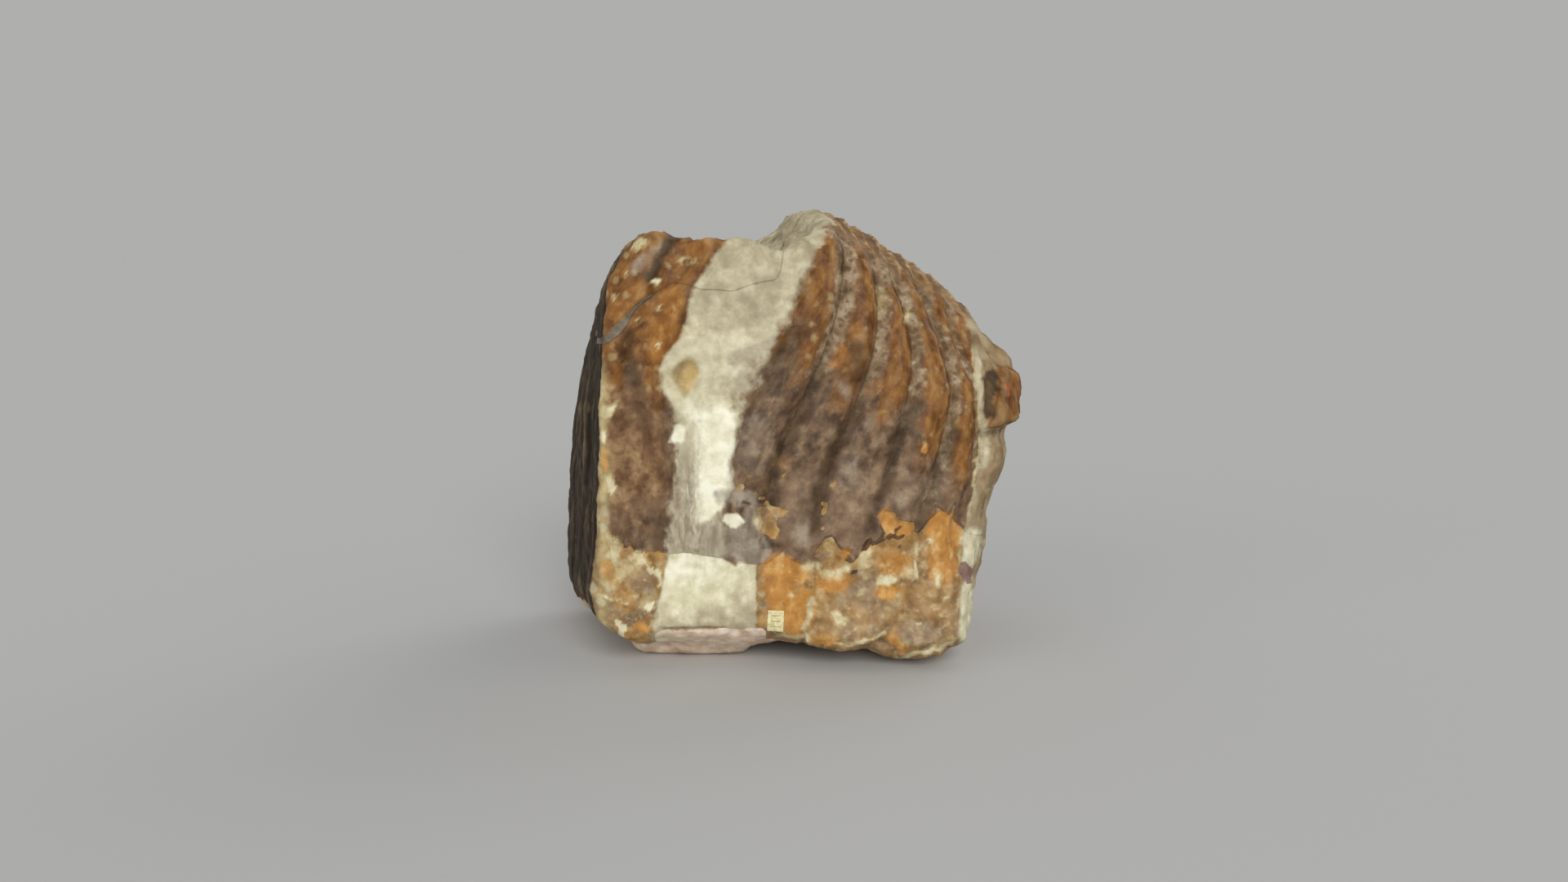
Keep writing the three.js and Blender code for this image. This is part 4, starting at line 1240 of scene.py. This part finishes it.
class FOSSIL_OT_add_molar(Operator):
    """Make the molar: the frame's block with its fine relief and mineral stains"""

    bl_idname = "fossil.add_molar"
    bl_label = "Add molar"

    def execute(self, context):
        settings = context.scene.fossil_molar
        mesh = molar_skin(settings.subdivision)
        skin = Skin(mesh)
        fields = molar_fields(skin)
        moved = skin.position + skin.broad * (relieve(skin, fields) * settings.relief)[:, None]
        moved[:, 2] = np.where(skin.z < FOOT_HEIGHT, skin.z, np.maximum(moved[:, 2], 0))
        mesh.vertices.foreach_set("co", (moved * MM).ravel())
        mesh.update()
        # how deep each point lies in a hollow; the material darkens the hollows with it as painted shade,
        # and pales the raised places
        inward = ((skin.blur(moved, 3) - moved) * skin.broad).sum(axis=1)
        fields["cavity"] = skin.blur(inward, 1)
        for name, values in fields.items():
            attribute = mesh.attributes.new(name, "FLOAT", "POINT")
            attribute.data.foreach_set("value", values.astype(np.float32))
        mesh.polygons.foreach_set("use_smooth", [True] * len(mesh.polygons))
        material = fossil_tooth_material(fields, settings)
        add_piece("molar_surface", mesh, "molar", material)
        return {"FINISHED"}


class FOSSIL_OT_add_label(Operator):
    """Make the paper label, laid on the molar where the frame has it"""

    bl_idname = "fossil.add_label"
    bl_label = "Add label"

    def execute(self, context):
        settings = context.scene.fossil_label
        mesh = label_sheet(settings)
        label = add_piece("paper_label", mesh, "number_label", paper_material())
        sheet = label.modifiers.new("Thickness", "SOLIDIFY")
        sheet.thickness = settings.thickness
        sheet.offset = 0
        return {"FINISHED"}


class FOSSIL_OT_add_stage(Operator):
    """Make the floor, the lights and the camera"""

    bl_idname = "fossil.add_stage"
    bl_label = "Add stage"

    def execute(self, context):
        settings = context.scene.fossil_stage
        scene = context.scene
        scene.view_settings.view_transform = "Standard"
        bm = bmesh.new()
        bmesh.ops.create_circle(bm, cap_ends=True, radius=settings.floor_radius, segments=96)
        mesh = bpy.data.meshes.new("floor")
        bm.to_mesh(mesh)
        bm.free()
        floor = bpy.data.objects.new("floor", mesh)
        scene.collection.objects.link(floor)
        mesh.materials.append(floor_material(settings.floor_colour))

        world = bpy.data.worlds.new("studio")
        world.use_nodes = True
        background = world.node_tree.nodes["Background"]
        background.inputs["Color"].default_value = (*linear(SKY_COLOUR), 1)
        background.inputs["Strength"].default_value = settings.sky
        scene.world = world

        for name, (towards, share, spread) in SUNS.items():
            light = bpy.data.lights.new(name, "SUN")
            light.energy = settings.key * share
            light.angle = math.radians(spread)
            lamp = bpy.data.objects.new(name, light)
            lamp.rotation_euler = Vector(towards).to_track_quat("Z", "Y").to_euler()
            scene.collection.objects.link(lamp)

        lens = bpy.data.cameras.new("camera")
        lens.sensor_width = 36
        lens.lens = settings.lens
        lens.clip_start = 0.01
        camera = bpy.data.objects.new("camera", lens)
        camera.location = settings.camera_place
        camera.rotation_euler = (math.radians(90) - settings.camera_tilt, 0, 0)
        scene.collection.objects.link(camera)
        scene.camera = camera
        return {"FINISHED"}


class FOSSIL_PT_panel(Panel):
    """Buttons and settings for the fossil molar"""

    bl_idname = "FOSSIL_PT_panel"
    bl_label = "Fossil molar"
    bl_space_type = "VIEW_3D"
    bl_region_type = "UI"
    bl_category = "Fossil"

    def draw(self, context):
        for operator, settings in (
            (FOSSIL_OT_add_molar, context.scene.fossil_molar),
            (FOSSIL_OT_add_label, context.scene.fossil_label),
            (FOSSIL_OT_add_stage, context.scene.fossil_stage),
        ):
            box = self.layout.box()
            box.operator(operator.bl_idname)
            for name in settings.__annotations__:
                box.prop(settings, name)


CLASSES = (
    MolarSettings,
    LabelSettings,
    StageSettings,
    FOSSIL_OT_add_molar,
    FOSSIL_OT_add_label,
    FOSSIL_OT_add_stage,
    FOSSIL_PT_panel,
)


def register():
    for cls in CLASSES:
        bpy.utils.register_class(cls)
    bpy.types.Scene.fossil_molar = PointerProperty(type=MolarSettings)
    bpy.types.Scene.fossil_label = PointerProperty(type=LabelSettings)
    bpy.types.Scene.fossil_stage = PointerProperty(type=StageSettings)


def unregister():
    del bpy.types.Scene.fossil_molar
    del bpy.types.Scene.fossil_label
    del bpy.types.Scene.fossil_stage
    for cls in reversed(CLASSES):
        bpy.utils.unregister_class(cls)


def main():
    register()
    bpy.ops.fossil.add_molar()
    bpy.ops.fossil.add_label()
    bpy.ops.fossil.add_stage()
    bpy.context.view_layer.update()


if __name__ == "__main__":
    main()
